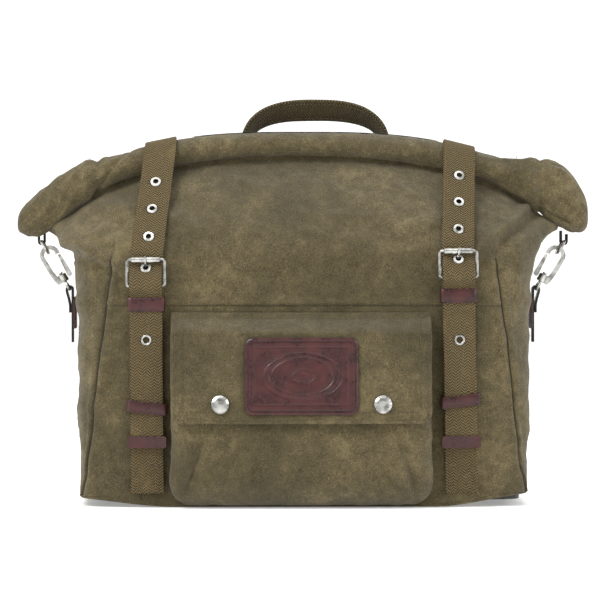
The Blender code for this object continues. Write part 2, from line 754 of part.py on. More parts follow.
def smoothed(points, passes=3):
    """Points with small corners evened out, and the two ends kept."""
    points = points.copy()
    for _ in range(passes):
        points[1:-1] = 0.25 * points[:-2] + 0.5 * points[1:-1] + 0.25 * points[2:]
    return points


class StrapLine:
    """A strap's base line: points, lengths from the foot, the unit vectors across it and out of it."""

    def __init__(self, points, across):
        self.points = points
        steps = np.linalg.norm(np.diff(points, axis=0), axis=1)
        self.lengths = np.concatenate([[0.0], np.cumsum(steps)])
        tangents = unit(np.gradient(points, axis=0))
        self.across = unit(across - np.sum(across * tangents, axis=1, keepdims=True) * tangents)
        self.tangents = tangents
        self.normals = np.cross(self.across, tangents)

    def length_at_height(self, height):
        """Length from the foot to the first point at a height."""
        top = int(np.argmax(self.points[:, 2]))
        return float(np.interp(height, self.points[:top, 2], self.lengths[:top]))

    def sample(self, rows, length):
        return np.stack([np.interp(length, self.lengths, rows[:, i]) for i in range(3)], axis=-1)

    def raised(self, length, standoff):
        """Points at lengths along the line, moved out of it by standoff."""
        return self.sample(self.points, length) + np.asarray(standoff)[..., None] * self.out(length)

    def out(self, length):
        return unit(self.sample(self.normals, length))

    def frame(self, length, standoff):
        """Matrix at a length: +X across, +Y into the bag, +Z up the strap."""
        origin = self.raised(np.array([length]), np.array([standoff]))[0]
        out = self.out(np.array([length]))[0]
        across = unit(self.sample(self.across, np.array([length])))[0]
        up = np.cross(across, -out)
        across = np.cross(-out, up)
        matrix = Matrix((across, -out, up)).transposed().to_4x4()
        matrix.translation = Vector(origin)
        return matrix


def strap_line(side):
    middle = smoothed(taut_line(side, 0.0))
    reach = 0.003
    across = smoothed(taut_line(side, reach)) - smoothed(taut_line(side, -reach))
    tangents = unit(np.gradient(middle, axis=0))
    across = across - np.sum(across * tangents, axis=1, keepdims=True) * tangents
    return StrapLine(middle, unit(across))


LOWER_STANDOFF = LEATHER + GAP + STRAP_THICKNESS / 2
LAYER = STRAP_THICKNESS + GAP
LOOP_RADIUS = BUCKLE_WIRE + GAP + STRAP_THICKNESS / 2


def top_standoff(length, heel):
    """Height of the top strap's middle above the base line: on the lower strap, over the heel bar,
    down behind the roller, then onto the canvas."""
    roller = heel + BUCKLE_LENGTH
    tail = TAIL_HEIGHT - STRAP_FOOT_HEIGHT
    over_heel = BUCKLE_STANDOFF + LOOP_RADIUS + LAYER
    behind_roller = BUCKLE_STANDOFF - ROLLER_RADIUS - GAP - STRAP_THICKNESS / 2
    places = (
        tail + TAIL_CAP_HEIGHT, tail + 0.028, heel - FOLD_LENGTH - 0.008, heel - FOLD_LENGTH,
        heel - 0.0095, heel - 0.001, heel + 0.002, roller, roller + 0.030, roller + 0.080,
    )
    values = (
        LOWER_STANDOFF + LAYER + TAIL_LIFT, LOWER_STANDOFF + LAYER, LOWER_STANDOFF + LAYER,
        LOWER_STANDOFF + 2 * LAYER, LOWER_STANDOFF + 2 * LAYER, over_heel, over_heel,
        behind_roller, LOWER_STANDOFF, STRAP_THICKNESS / 2,
    )
    return eased(length, places, values)


def fold_standoff(length, heel):
    """Height of the lower strap's folded end, in front of its own first layer."""
    places = (heel - FOLD_LENGTH, heel - 0.0095, heel)
    values = (LOWER_STANDOFF + LAYER, LOWER_STANDOFF + LAYER, BUCKLE_STANDOFF + LOOP_RADIUS)
    return eased(length, places, values)


def make_lower_strap(side, line, heel, finish):
    """Webbing from the foot up behind the heel bar, round it, and a little way down in front."""
    climb = np.linspace(0.0, heel - 0.001, 26)
    rise = eased(climb, (0.0, heel - 0.007, heel - 0.001),
                 (LOWER_STANDOFF, LOWER_STANDOFF, BUCKLE_STANDOFF - LOOP_RADIUS))
    behind = line.raised(climb, rise)
    frame = line.frame(heel, BUCKLE_STANDOFF)
    turn = np.radians(np.linspace(0.0, 180.0, 9))
    round_bar = [
        frame @ Vector((0.0, LOOP_RADIUS * math.cos(t), LOOP_RADIUS * math.sin(t))) for t in turn
    ]
    fall = np.linspace(heel - 0.001, heel - FOLD_LENGTH, 9)
    front = line.raised(fall, fold_standoff(fall, heel))
    centres = np.concatenate([behind, np.array(round_bar), front])
    lengths = np.concatenate([climb, np.full(len(turn), heel), fall])
    across = unit(line.sample(line.across, lengths))
    strap = band_object(f"{side}_lower_strap", centres, across, STRAP_WIDTH, STRAP_THICKNESS, finish)
    slot = plate_object(f"{side}_prong_slot", rounded_rectangle(PRONG_SLOT, 0.016, 0.001),
                        -BUCKLE_STANDOFF, LOOP_RADIUS + STRAP_THICKNESS, finish)
    slot.matrix_world = frame @ Matrix.Translation((0, 0, -0.0045)) @ Matrix.Rotation(math.pi / 2, 4, "X")
    boolean(strap, slot, "DIFFERENCE")


def make_top_strap(side, line, heel, materials):
    """The top strap, its eyelets, and the leather cap on its tail. Returns the prong eyelet's frame."""
    roller = heel + BUCKLE_LENGTH
    tail = TAIL_HEIGHT - STRAP_FOOT_HEIGHT
    lengths = np.unique(np.concatenate([
        np.linspace(tail, heel - FOLD_LENGTH - 0.010, 10),
        np.linspace(heel - FOLD_LENGTH - 0.010, roller + 0.004, 20),
        np.linspace(roller + 0.004, line.lengths[-1], 24),
    ]))
    centres = line.raised(lengths, top_standoff(lengths, heel))
    across = unit(line.sample(line.across, lengths))
    webbing = materials["webbing"]
    strap = band_object(f"{side}_top_strap", centres, across, STRAP_WIDTH, STRAP_THICKNESS, webbing)
    worn = StrapLine(centres, across)
    start = float(np.interp(roller - EYELET_DROP, lengths, worn.lengths))
    prong_frame = None
    for row in EYELET_ROWS:
        frame = worn.frame(start + row * EYELET_PITCH, 0.0)
        hole = turned_object(
            f"{side}_hole_{row}",
            [(0.0, -0.004), (EYELET_BARREL + GAP, -0.004), (EYELET_BARREL + GAP, 0.004), (0.0, 0.004)],
            12, materials["webbing"], closed=False,
        )
        turned = frame @ Matrix.Rotation(math.pi / 2, 4, "X")
        hole.matrix_world = turned
        boolean(strap, hole, "DIFFERENCE")
        face = STRAP_THICKNESS / 2 + EYELET_LIFT
        edge = face + EYELET_RIM
        profile = [
            (EYELET_HOLE, -edge), (EYELET_HOLE, edge),
            (EYELET_RADIUS - 0.0004, edge), (EYELET_RADIUS, face),
            (EYELET_BARREL, face), (EYELET_BARREL, -face),
            (EYELET_RADIUS, -face), (EYELET_RADIUS - 0.0004, -edge),
        ]
        eyelet = turned_object(f"{side}_eyelet_{row + 1}", profile, 12, materials["nickel"])
        eyelet.matrix_world = turned
        if row == 0:
            prong_frame = frame
    cap_centre = (tail + TAIL_CAP_HEIGHT / 2 - 0.002)
    standoff = float(top_standoff(np.array([tail]), heel)[0])
    frame = line.frame(cap_centre, standoff)
    outline = rounded_rectangle(TAIL_CAP_WIDTH, TAIL_CAP_HEIGHT, 0.002)
    cap = plate_object(f"{side}_strap_end_cap", outline, -TAIL_CAP_THICKNESS / 2, TAIL_CAP_THICKNESS / 2,
                       materials["burgundy"])
    cap.matrix_world = frame @ Matrix.Rotation(math.pi / 2, 4, "X")
    inside = rounded_rectangle(STRAP_WIDTH + 2 * GAP, STRAP_THICKNESS + 3 * GAP, 0.0004)
    pocket = plate_object(f"{side}_cap_slot", inside, -TAIL_CAP_HEIGHT / 2 + 0.0012, TAIL_CAP_HEIGHT,
                          materials["burgundy"])
    pocket.matrix_world = frame
    boolean(cap, pocket, "DIFFERENCE")
    return prong_frame


def make_keeper(name, frame, inner_width, low, high, height, tilt, finish):
    """A leather ring round the straps, from low to high above the base line, tilted in its own plane."""
    middle = (low + high) / 2
    outline = rounded_rectangle(inner_width + 2 * LEATHER, high - low + 2 * LEATHER, 0.0022)
    hole = rounded_rectangle(inner_width, high - low, 0.001)
    points = []
    for z in (-height / 2, height / 2):
        lean = math.tan(math.radians(tilt))
        points.append([(x, y - middle, z + lean * x) for x, y in outline])
        points.append([(x, y - middle, z + lean * x) for x, y in hole])
    outer_low, inner_low, outer_high, inner_high = points
    rings = np.array([outer_low, outer_high, inner_high, inner_low])
    keeper = swept_object(name, rings, finish, closed=True)
    keeper.matrix_world = frame
    return keeper


def make_buckle(side, line, heel, prong_frame, materials):
    """Frame, roller and prong, in the frame of the heel bar: +X across, +Y into the bag, +Z up."""
    nickel = materials["nickel"]
    frame = line.frame(heel, BUCKLE_STANDOFF)
    width = STRAP_WIDTH + 2 * BUCKLE_SIDE_GAP + 2 * BUCKLE_WIRE
    outline = [(x, z + BUCKLE_LENGTH / 2) for x, z in rounded_rectangle(width, BUCKLE_LENGTH, BUCKLE_CORNER)]
    place(wire_object(f"{side}_buckle_frame", outline, BUCKLE_WIRE, 8, nickel), frame)
    bore = BUCKLE_WIRE + GAP
    end = ROLLER_LENGTH / 2
    profile = [(bore, -end), (ROLLER_RADIUS, -end), (ROLLER_RADIUS, end), (bore, end)]
    roller = turned_object(f"{side}_buckle_roller", profile, 16, nickel)
    place(roller, frame @ Matrix.Translation((0, 0, BUCKLE_LENGTH)) @ Matrix.Rotation(math.pi / 2, 4, "Y"))
    eyelet = frame.inverted() @ prong_frame.translation
    wrap = BUCKLE_WIRE + GAP + PRONG_RADIUS
    over = ROLLER_RADIUS + 1.2 * GAP + PRONG_RADIUS
    rise = math.radians(PRONG_RISE)
    reach = 0.0030
    path = [(math.cos(a) * wrap, math.sin(a) * wrap) for a in np.radians([60, 90, 125, 160, 195, 230, 270])]
    path += [(0.35 * (eyelet.z - reach), -wrap), (0.7 * (eyelet.z - reach), -wrap - 0.0004)]
    path += [
        (eyelet.z + way * reach * math.cos(rise), -eyelet.y + way * reach * math.sin(rise))
        for way in (-1, 0, 1)
    ]
    path += [(BUCKLE_LENGTH + over * math.cos(a), over * math.sin(a)) for a in np.radians([140, 115, 90])]
    path.append((BUCKLE_LENGTH + PRONG_TIP, over))
    curve = bpy.data.curves.new(f"{side}_buckle_prong", "CURVE")
    curve.dimensions = "3D"
    curve.bevel_depth = PRONG_RADIUS
    curve.bevel_resolution = 2
    curve.use_fill_caps = True
    curve.materials.append(nickel)
    spline = curve.splines.new("POLY")
    spline.points.add(len(path) - 1)
    for point, (z, out) in zip(spline.points, path):
        point.co = (0.0, -out, z, 1.0)
    prong = bpy.data.objects.new(f"{side}_buckle_prong", curve)
    bpy.context.scene.collection.objects.link(prong)
    place(prong, frame)


def make_straps(materials):
    for side in SIDES:
        line = strap_line(side)
        roller = line.length_at_height(BUCKLE_HEIGHTS[side])
        heel = roller - BUCKLE_LENGTH
        make_lower_strap(side, line, heel, materials["webbing"])
        prong_frame = make_top_strap(side, line, heel, materials)
        make_buckle(side, line, heel, prong_frame, materials)
        under = LEATHER
        stack = LOWER_STANDOFF + 2 * LAYER + STRAP_THICKNESS / 2 + GAP
        make_keeper(
            f"{side}_fixed_keeper", line.frame(heel - FIXED_KEEPER_DROP, 0.0),
            STRAP_WIDTH + 2 * KEEPER_SIDE_GAP, under, stack, FIXED_KEEPER_HEIGHT, 0.0, materials["burgundy"],
        )
        at = line.length_at_height(LOOSE_KEEPER_HEIGHTS[side])
        make_keeper(
            f"{side}_loose_keeper", line.frame(at, 0.0), STRAP_WIDTH + 2 * LOOSE_KEEPER_SIDE_GAP,
            under, stack - LAYER + GAP, LOOSE_KEEPER_HEIGHT, LOOSE_KEEPER_TILTS[side], materials["burgundy"],
        )


# ---------------------------------------------------------------- side clips

def side_x():
    """The gusset's outermost surface where the side strap lies."""
    return BASE_WIDTH / 2 + SHOULDER_FLARE


def strap_middle_x():
    return side_x() + 2 * GAP + SIDE_PATCH_THICKNESS + STRAP_THICKNESS / 2


def eye_x():
    return strap_middle_x() + EYE_WIRE + GAP + STRAP_THICKNESS / 2


def clip_frame(side):
    """Matrix at the swivel's bottom bar: +X away from the bag, +Z up along the hook to the D-ring's bar."""
    sign = SIDES[side]
    start = Vector((sign * eye_x(), 0.0, SIDE_STRAP_TURN))
    up = (Vector((sign * RING_BAR_X, 0.0, RING_BAR_HEIGHT)) - start).normalized()
    away = Vector((sign * up.z, 0.0, -sign * up.x))
    matrix = Matrix((away, up.cross(away), up)).transposed().to_4x4()
    matrix.translation = start
    return matrix


def clip_length():
    return math.hypot(RING_BAR_X - eye_x(), RING_BAR_HEIGHT - SIDE_STRAP_TURN)


def make_side_strap(side, materials):
    """Webbing up the gusset, round the swivel's bar and back down in front, on its leather patch."""
    sign = SIDES[side]
    radius = EYE_WIRE + GAP + STRAP_THICKNESS / 2
    turn = arc((eye_x(), SIDE_STRAP_TURN), radius, 180.0, 0.0, 9)
    inner = strap_middle_x()
    foot = [(inner, z) for z in np.linspace(SIDE_STRAP_FOOT, SIDE_STRAP_TURN - 0.002, 8)]
    front = eye_x() + radius
    close = inner + STRAP_THICKNESS + GAP
    fall = [(front, SIDE_STRAP_TURN - 0.002), (close + 0.0012, SIDE_STRAP_TURN - 0.009),
            (close, SIDE_STRAP_TURN - 0.015), (close, SIDE_STRAP_TURN - 0.022)]
    centres = np.array([(sign * x, 0.0, z) for x, z in foot + turn + fall])
    band_object(f"{side}_side_strap", centres, np.array([0.0, 1.0, 0.0]), SIDE_STRAP_WIDTH, STRAP_THICKNESS,
                materials["black"])
    height = SIDE_PATCH_TOP - SIDE_PATCH_BOTTOM
    outline = [(y, z) for y, z in rounded_rectangle(SIDE_PATCH_WIDTH, height, 0.004)]
    patch = plate_object(f"{side}_side_patch", outline, 0.0, SIDE_PATCH_THICKNESS, materials["burgundy"])
    centre = Vector((sign * (side_x() + GAP), 0.0, (SIDE_PATCH_BOTTOM + SIDE_PATCH_TOP) / 2))
    away = Vector((sign, 0.0, 0.0))
    matrix = Matrix((Vector((0.0, sign, 0.0)), Vector((0.0, 0.0, 1.0)), away)).transposed().to_4x4()
    matrix.translation = centre
    patch.matrix_world = matrix


def make_tab(side, finish):
    """The webbing that hangs the D-ring's bar from the underside of the roll's ear."""
    sign = SIDES[side]
    radius = RING_WIRE + GAP + TAB_THICKNESS / 2
    ends = []
    for x in (RING_BAR_X - radius, RING_BAR_X + radius):
        top = roll_centre(x) - roll_half_height(x) - 2 * GAP
        ends.append((x, float(top)))
    turn = arc((RING_BAR_X, RING_BAR_HEIGHT), radius, 180.0, 360.0, 9)
    path = [ends[0]] + turn + [ends[1]]
    centres = np.array([(sign * x, 0.0, z) for x, z in path])
    band_object(f"{side}_collar_tab", centres, np.array([0.0, 1.0, 0.0]), TAB_WIDTH, TAB_THICKNESS, finish)


def d_outline(width, depth):
    """A D: a straight bar at z = 0, corners, and a round bow at z = -depth. Points are (across, z)."""
    bow = [(width / 2 * math.cos(a), -depth + depth * 0.62 * (1.0 - abs(math.sin(a)) ** 0.8))
           for a in np.radians(np.linspace(0, -180, 13))]
    corner = 0.001
    bar = [(width / 2 - corner, 0.0), (0.0, 0.0), (-width / 2 + corner, 0.0), (-width / 2, -corner)]
    return bar + bow[::-1] + [(width / 2, -corner)]


def hook_outline():
    """The hook's plate: base block, outer spine, round bend and nose, as (x, z)."""
    bend = arc((0.0, HOOK_REACH), HOOK_OUTSIDE, 0.0, 196.0, 13)
    inner = arc((0.0, HOOK_REACH), HOOK_INSIDE, 196.0, 0.0, 11)
    return (
        [(-0.0035, 0.0085), (0.0070, 0.0085), (0.0085, 0.0130), (0.0093, 0.0220)]
        + bend + inner
        + [(0.0052, 0.0220), (0.0046, 0.0176), (0.0036, 0.0160), (-0.0035, 0.0160)]
    )


def make_clip(side, materials):
    """Swivel eye, hook body and gate, in the clip's frame."""
    nickel = materials["nickel"]
    frame = clip_frame(side)
    half_eye = SIDE_STRAP_WIDTH / 2 + 0.0008 + EYE_WIRE
    outline = [(x, z + EYE_DEPTH / 2) for x, z in rounded_rectangle(2 * half_eye, EYE_DEPTH, 0.0020, 3)]
    eye = wire_object(f"{side}_swivel_eye", outline, EYE_WIRE, 8, nickel)
    place(eye, frame @ Matrix.Rotation(math.pi / 2, 4, "Z"))
    head = 0.0168
    profile = [(0.0, EYE_DEPTH - 0.0004), (HOOK_STEM, EYE_DEPTH - 0.0004), (HOOK_STEM, head - 0.0003),
               (HOOK_STEM + 0.0007, head), (HOOK_STEM + 0.0007, head + 0.0010), (0.0, head + 0.0010)]
    stem = turned_object(f"{side}_swivel_stem", profile, 12, nickel, closed=False)
    place(stem, frame)
    boolean(eye, stem, "UNION")
    half = HOOK_THICKNESS / 2
    hook = plate_object(f"{side}_hook", hook_outline(), -half, half, nickel, axis="Y")
    place(hook, frame)
    profile = [(0.0, 0.0084), (HOOK_BARREL - 0.0005, 0.0084), (HOOK_BARREL, 0.0090), (HOOK_BARREL, 0.0154),
               (HOOK_BARREL - 0.0005, 0.0160), (0.0, 0.0160)]
    barrel = turned_object(f"{side}_hook_barrel", profile, 16, nickel, closed=False)
    place(barrel, frame)
    boolean(hook, barrel, "UNION")
    profile = [(0.0, 0.0), (HOOK_BORE, 0.0), (HOOK_BORE, 0.0200), (0.0, 0.0200)]
    bore = turned_object(f"{side}_hook_bore", profile, 14, nickel, closed=False)
    place(bore, frame)
    boolean(hook, bore, "DIFFERENCE")
    pivot_x, pivot_z = GATE_PIVOT
    tip = (-0.0078, 0.0326)
    outline = arc(GATE_PIVOT, GATE_FOOT, 170.0, 370.0, 9) + arc(tip, GATE_TIP, 0.0, 180.0, 5)
    outline = [(x - pivot_x, z - pivot_z) for x, z in outline]
    half = GATE_THICKNESS / 2
    gate = plate_object(f"{side}_hook_gate", outline, -half, half, nickel, axis="Y")
    place(gate, frame @ Matrix.Translation((pivot_x, 0.0, pivot_z)))
    ring = wire_object(f"{side}_d_ring", d_outline(RING_WIDTH, RING_DEPTH), RING_WIRE, RING_SIDES, nickel)
    place(ring, frame @ Matrix.Translation((0.0, 0.0, clip_length())) @ Matrix.Rotation(math.pi / 2, 4, "Z"))


# ---------------------------------------------------------------- handle and back

def make_handle(materials):
    """The carry handle: webbing on an arch, twisted more at its feet than at its crest."""
    turn = np.radians(np.linspace(0.0, 180.0, 31))
    power = 2.0 / HANDLE_SQUARENESS
    x = HANDLE_HALF_SPAN * np.sign(np.cos(turn)) * np.abs(np.cos(turn)) ** power
    z = HANDLE_BASE + (HANDLE_CREST - HANDLE_BASE) * np.abs(np.sin(turn)) ** power
    centres = np.stack([HANDLE_CENTRE + x, np.full_like(x, HANDLE_Y), z], axis=-1)
    tangents = unit(np.gradient(centres, axis=0))
    inwards = np.cross(tangents, np.array([0.0, 1.0, 0.0]))
    share = np.sin(turn)[:, None] ** 1.5
    twist = np.radians(HANDLE_TWIST_FOOT + (HANDLE_TWIST_CREST - HANDLE_TWIST_FOOT) * share)
    across = np.cos(twist) * inwards + np.sin(twist) * np.array([0.0, 1.0, 0.0])
    webbing = materials["webbing"]
    handle = band_object("carry_handle", centres, across, HANDLE_WIDTH, HANDLE_THICKNESS, webbing)
    set_origin(handle, (HANDLE_CENTRE, HANDLE_Y, HANDLE_BASE))


def anchor_point(x, share):
    """The strip behind the roll, from just over the back panel to just over the roll's top line."""
    rear = MOUTH_DEPTH / 2 + 0.0036
    bottom = mouth_height(x) + 0.002
    top = roll_top(x) + 0.0012
    height = bottom + (top - bottom) * share
    return np.stack([x, np.broadcast_to(rear, x.shape), height], axis=-1)


def make_back(materials):
    x = HANDLE_CENTRE + np.linspace(ANCHOR_HALF_LENGTH, -ANCHOR_HALF_LENGTH, 17)
    sheet_object("handle_anchor", anchor_point, x, np.array([0.0, 1.0]), 0.0, -ANCHOR_THICKNESS,
                 materials["black"])
    for side, sign in SIDES.items():
        z = np.linspace(LOOP_BOTTOM, LOOP_TOP, 15)
        lift = LOOP_BULGE * np.sin(math.pi * (z - LOOP_BOTTOM) / (LOOP_TOP - LOOP_BOTTOM)) ** 1.5
        y = BASE_DEPTH / 2 + 2 * GAP + STRAP_THICKNESS / 2 + lift
        centres = np.stack([np.full_like(z, sign * LOOP_X), y, z], axis=-1)
        band_object(f"{side}_rear_loop", centres, np.array([1.0, 0.0, 0.0]), LOOP_WIDTH, STRAP_THICKNESS,
                    materials["black"])


def main():
    clear_scene()
    materials = all_materials()
    make_body(materials)
    make_pocket(materials)
    make_flap(materials)
    make_straps(materials)
    for side in SIDES:
        make_side_strap(side, materials)
        make_tab(side, materials["black"])
        make_clip(side, materials)
    make_handle(materials)
    make_back(materials)
    bpy.context.view_layer.update()


main()
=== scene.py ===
"""Looks of the roll-top canvas saddlebag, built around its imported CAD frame."""
import logging
import math
from dataclasses import dataclass, field
from enum import Enum
from typing import Sequence

import bmesh
import bpy
import numpy as np
from mathutils import Matrix, Vector
from mathutils.geometry import convex_hull_2d


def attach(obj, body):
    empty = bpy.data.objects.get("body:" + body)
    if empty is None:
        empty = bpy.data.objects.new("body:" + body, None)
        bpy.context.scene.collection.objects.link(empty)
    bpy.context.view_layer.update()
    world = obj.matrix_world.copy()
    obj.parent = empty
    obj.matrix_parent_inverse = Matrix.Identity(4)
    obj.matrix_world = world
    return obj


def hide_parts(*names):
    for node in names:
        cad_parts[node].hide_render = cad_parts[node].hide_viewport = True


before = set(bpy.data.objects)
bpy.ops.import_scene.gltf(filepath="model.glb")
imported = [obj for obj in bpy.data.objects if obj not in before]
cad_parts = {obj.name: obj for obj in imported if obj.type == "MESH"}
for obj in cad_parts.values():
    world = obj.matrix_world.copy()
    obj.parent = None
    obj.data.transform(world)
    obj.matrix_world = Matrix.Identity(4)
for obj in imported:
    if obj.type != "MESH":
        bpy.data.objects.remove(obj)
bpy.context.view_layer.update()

Array = np.ndarray

MM = 0.001
GAP = 0.0004
LOG = logging.getLogger("saddlebag")


class Side(Enum):
    """The two sides of the bag, and the sign of X on each."""

    LEFT = -1.0
    RIGHT = 1.0

    @property
    def label(self) -> str:
        """The word that starts this side's node names."""
        return self.name.lower()


class Weave(Enum):
    """How a webbing's ribs run."""

    HERRINGBONE = "herringbone"
    PLAIN = "plain"


# ---------------------------------------------------------------- numbers and curves

def linear(code: str) -> tuple[float, float, float, float]:
    """Turns an sRGB hex colour into linear light.

    Args:
        code: Six hex digits.

    Returns:
        Red, green, blue and an alpha of one.
    """
    values = [int(code[i:i + 2], 16) / 255 for i in (0, 2, 4)]
    light = [v / 12.92 if v <= 0.04045 else ((v + 0.055) / 1.055) ** 2.4 for v in values]
    return (light[0], light[1], light[2], 1.0)


def unit(vectors: Array) -> Array:
    """Vectors of length one, the same way round."""
    return vectors / np.maximum(np.linalg.norm(vectors, axis=-1, keepdims=True), 1e-12)


def ease(x: Array, places: Sequence[float], values: Sequence[float]) -> Array:
    """Moves from each value to the next with no slope at the places, by 3t^2 - 2t^3.

    Args:
        x: Where to read the curve.
        places: Rising places of the values.
        values: One value at each place.

    Returns:
        The curve's values at x.
    """
    spots = np.asarray(places, float)
    levels = np.asarray(values, float)
    held = np.clip(x, spots[0], spots[-1])
    index = np.clip(np.searchsorted(spots, held, side="right") - 1, 0, len(spots) - 2)
    share = (held - spots[index]) / (spots[index + 1] - spots[index])
    return levels[index] + (levels[index + 1] - levels[index]) * share**2 * (3 - 2 * share)


def bump(x: Array, centre: float, width: float) -> Array:
    """A round hill of height one: the bell exp(-(x - centre)^2 / width^2)."""
    return np.exp(-(((x - centre) / width) ** 2))


@dataclass(frozen=True)
class Crumple:
    """Soft creases in cloth: a sum of bent plane waves with seeded directions.

    Attributes:
        seed: Makes one pattern differ from another, the same on each run.
        wavelength: The longest wave, in metres.
        waves: How many waves are added.
        slant: Middle direction of the waves in degrees, 0 along the first parameter.
        spread: How far directions stray from the middle one, in degrees.
    """

    seed: int
    wavelength: float
    waves: int = 9
    slant: float = 0.0
    spread: float = 90.0

    def at(self, u: Array, v: Array) -> Array:
        """Sums sharpened sines whose phase is bent by a slower sine.

        Args:
            u: First coordinate in metres.
            v: Second coordinate in metres.

        Returns:
            Heights of about -1 to 1.
        """
        draw = np.random.default_rng(self.seed)
        total = np.zeros(np.broadcast(u, v).shape)
        weight_sum = 0.0
        for _ in range(self.waves):
            turn = math.radians(self.slant + self.spread * draw.uniform(-1.0, 1.0))
            length = self.wavelength * draw.uniform(0.35, 1.0)
            phase = draw.uniform(0.0, 2 * math.pi)
            bend = draw.uniform(0.6, 1.6)
            along = (u * math.cos(turn) + v * math.sin(turn)) * 2 * math.pi / length
            cross = (v * math.cos(turn) - u * math.sin(turn)) * 2 * math.pi / (length * 2.3)
            wave = np.sin(along + bend * np.sin(cross + 2 * phase) + phase)
            patch = 0.5 + 0.5 * np.sin(cross * 0.7 + 3 * phase)
            weight = length / self.wavelength
            total += weight * (1.0 - 2.0 * np.abs(wave) ** 0.8) * patch
            weight_sum += weight
        return total / weight_sum * 1.6


# ---------------------------------------------------------------- meshes

def new_object(name: str, points: Array, quads: Array, uv: Array | None = None) -> bpy.types.Object:
    """Makes a smooth mesh object from arrays, at the origin.

    Args:
        name: The piece's name.
        points: Vertices, one row each.
        quads: Four vertex numbers a face, outward by the right hand.
        uv: One pair a vertex, in metres along the surface.

    Returns:
        The new object, linked to the scene.
    """
    mesh = bpy.data.meshes.new(name)
    mesh.vertices.add(len(points))
    mesh.vertices.foreach_set("co", np.ascontiguousarray(points, np.float32).ravel())
    mesh.loops.add(quads.size)
    mesh.loops.foreach_set("vertex_index", quads.astype(np.int32).ravel())
    mesh.polygons.add(len(quads))
    mesh.polygons.foreach_set("loop_start", np.arange(0, quads.size, 4, dtype=np.int32))
    mesh.update(calc_edges=True)
    if uv is not None:
        layer = mesh.uv_layers.new(name="cloth")
        layer.data.foreach_set("uv", uv[quads.ravel()].astype(np.float32).ravel())
    mesh.shade_smooth()
    mesh.validate()
    obj = bpy.data.objects.new(name, mesh)
    bpy.context.scene.collection.objects.link(obj)
    return obj


def face_outward(obj: bpy.types.Object, merge: float = 0.0) -> None:
    """Merges doubles, then turns a closed mesh's faces outward."""
    shape = bmesh.new()
    shape.from_mesh(obj.data)
    if merge:
        bmesh.ops.remove_doubles(shape, verts=shape.verts, dist=merge)
    bmesh.ops.recalc_face_normals(shape, faces=shape.faces)
    shape.to_mesh(obj.data)
    shape.free()


def lattice(rows: int, columns: int, wrap_rows: bool = False, wrap_columns: bool = False) -> Array:
    """Quads of a grid numbered row by row, joined end to end where it wraps."""
    down_rows, along_columns = np.arange(rows - (not wrap_rows)), np.arange(columns - (not wrap_columns))
    i, j = np.meshgrid(down_rows, along_columns, indexing="ij")
    i, j = i.ravel(), j.ravel()
    down, right = (i + 1) % rows, (j + 1) % columns
    corners = [i * columns + j, i * columns + right, down * columns + right, down * columns + j]
    return np.stack(corners, axis=1)


def grid_normals(points: Array) -> Array:
    """Unit normals of a grid of points, from the slopes along both of its parameters."""
    return unit(np.cross(np.gradient(points, axis=1), np.gradient(points, axis=0)))


def grid_lengths(points: Array) -> Array:
    """Lengths in metres along the middle column and the middle row, as a uv pair for each point."""
    rows, columns = points.shape[:2]
    across = np.linalg.norm(np.diff(points[rows // 2], axis=0), axis=-1)
    along = np.linalg.norm(np.diff(points[:, columns // 2], axis=0), axis=-1)
    u = np.concatenate([[0.0], np.cumsum(across)])
    v = np.concatenate([[0.0], np.cumsum(along)])
    return np.stack(np.meshgrid(u, v), axis=-1)


def cloth_sheet(
    name: str, points: Array, wall: float, outward: Array, round_edge: float = 1.0
) -> bpy.types.Object:
    """A closed sheet of cloth with rolled edges.

    The outer face is the grid itself and the inner one lies a wall behind it. Three rings join them on a
    half circle, so that each cut edge looks turned in.

    Args:
        name: The piece's name.
        points: A grid of points on the outer face.
        wall: Thickness in metres.
        outward: A direction that the outer face looks in, at the grid's middle.
        round_edge: How far the rim stands out of the edge, in half walls.

    Returns:
        The sheet as an object with a uv map in metres.
    """
    rows, columns = points.shape[:2]
    normals = grid_normals(points)
    middle = normals[rows // 2, columns // 2]
    if float(middle @ np.asarray(outward)) < 0:
        points = points[:, ::-1]
        normals = grid_normals(points)
        middle = normals[rows // 2, columns // 2]
        if float(middle @ np.asarray(outward)) < 0:
            normals = -normals
    uv = grid_lengths(points).reshape(-1, 2)
    outer = points.reshape(-1, 3)
    inner = (points - wall * normals).reshape(-1, 3)
    count = rows * columns
    ids = np.arange(count).reshape(rows, columns)
    border = np.concatenate([ids[0], ids[1:, -1], ids[-1, -2::-1], ids[-2:0:-1, 0]])
    centre = outer.mean(axis=0)
    side = np.roll(outer[border], -1, axis=0) - np.roll(outer[border], 1, axis=0)
    out = unit(np.cross(unit(side), normals.reshape(-1, 3)[border]))
    sign = np.sign(np.sum(out * (outer[border] - centre), axis=1).mean())
    turns = np.radians([45.0, 90.0, 135.0])
    rims = [
        outer[border] - wall / 2 * (1 - math.cos(t)) * normals.reshape(-1, 3)[border]
        + sign * out * wall / 2 * math.sin(t) * round_edge for t in turns
    ]
    everything = np.concatenate([outer, inner, *rims])
    uvs = np.concatenate([uv, uv, *[uv[border]] * 3])
    faces = lattice(rows, columns)
    back = faces[:, ::-1] + count
    between = [2 * count + k * len(border) + np.arange(len(border)) for k in range(3)]
    loops = [border, *between, border + count]
    strips = [
        np.stack([a, np.roll(a, -1), np.roll(b, -1), b], axis=1)
        for a, b in zip(loops, loops[1:])
    ]
    obj = new_object(name, everything, np.concatenate([faces, back, *strips]), uvs)
    face_outward(obj)
    return obj


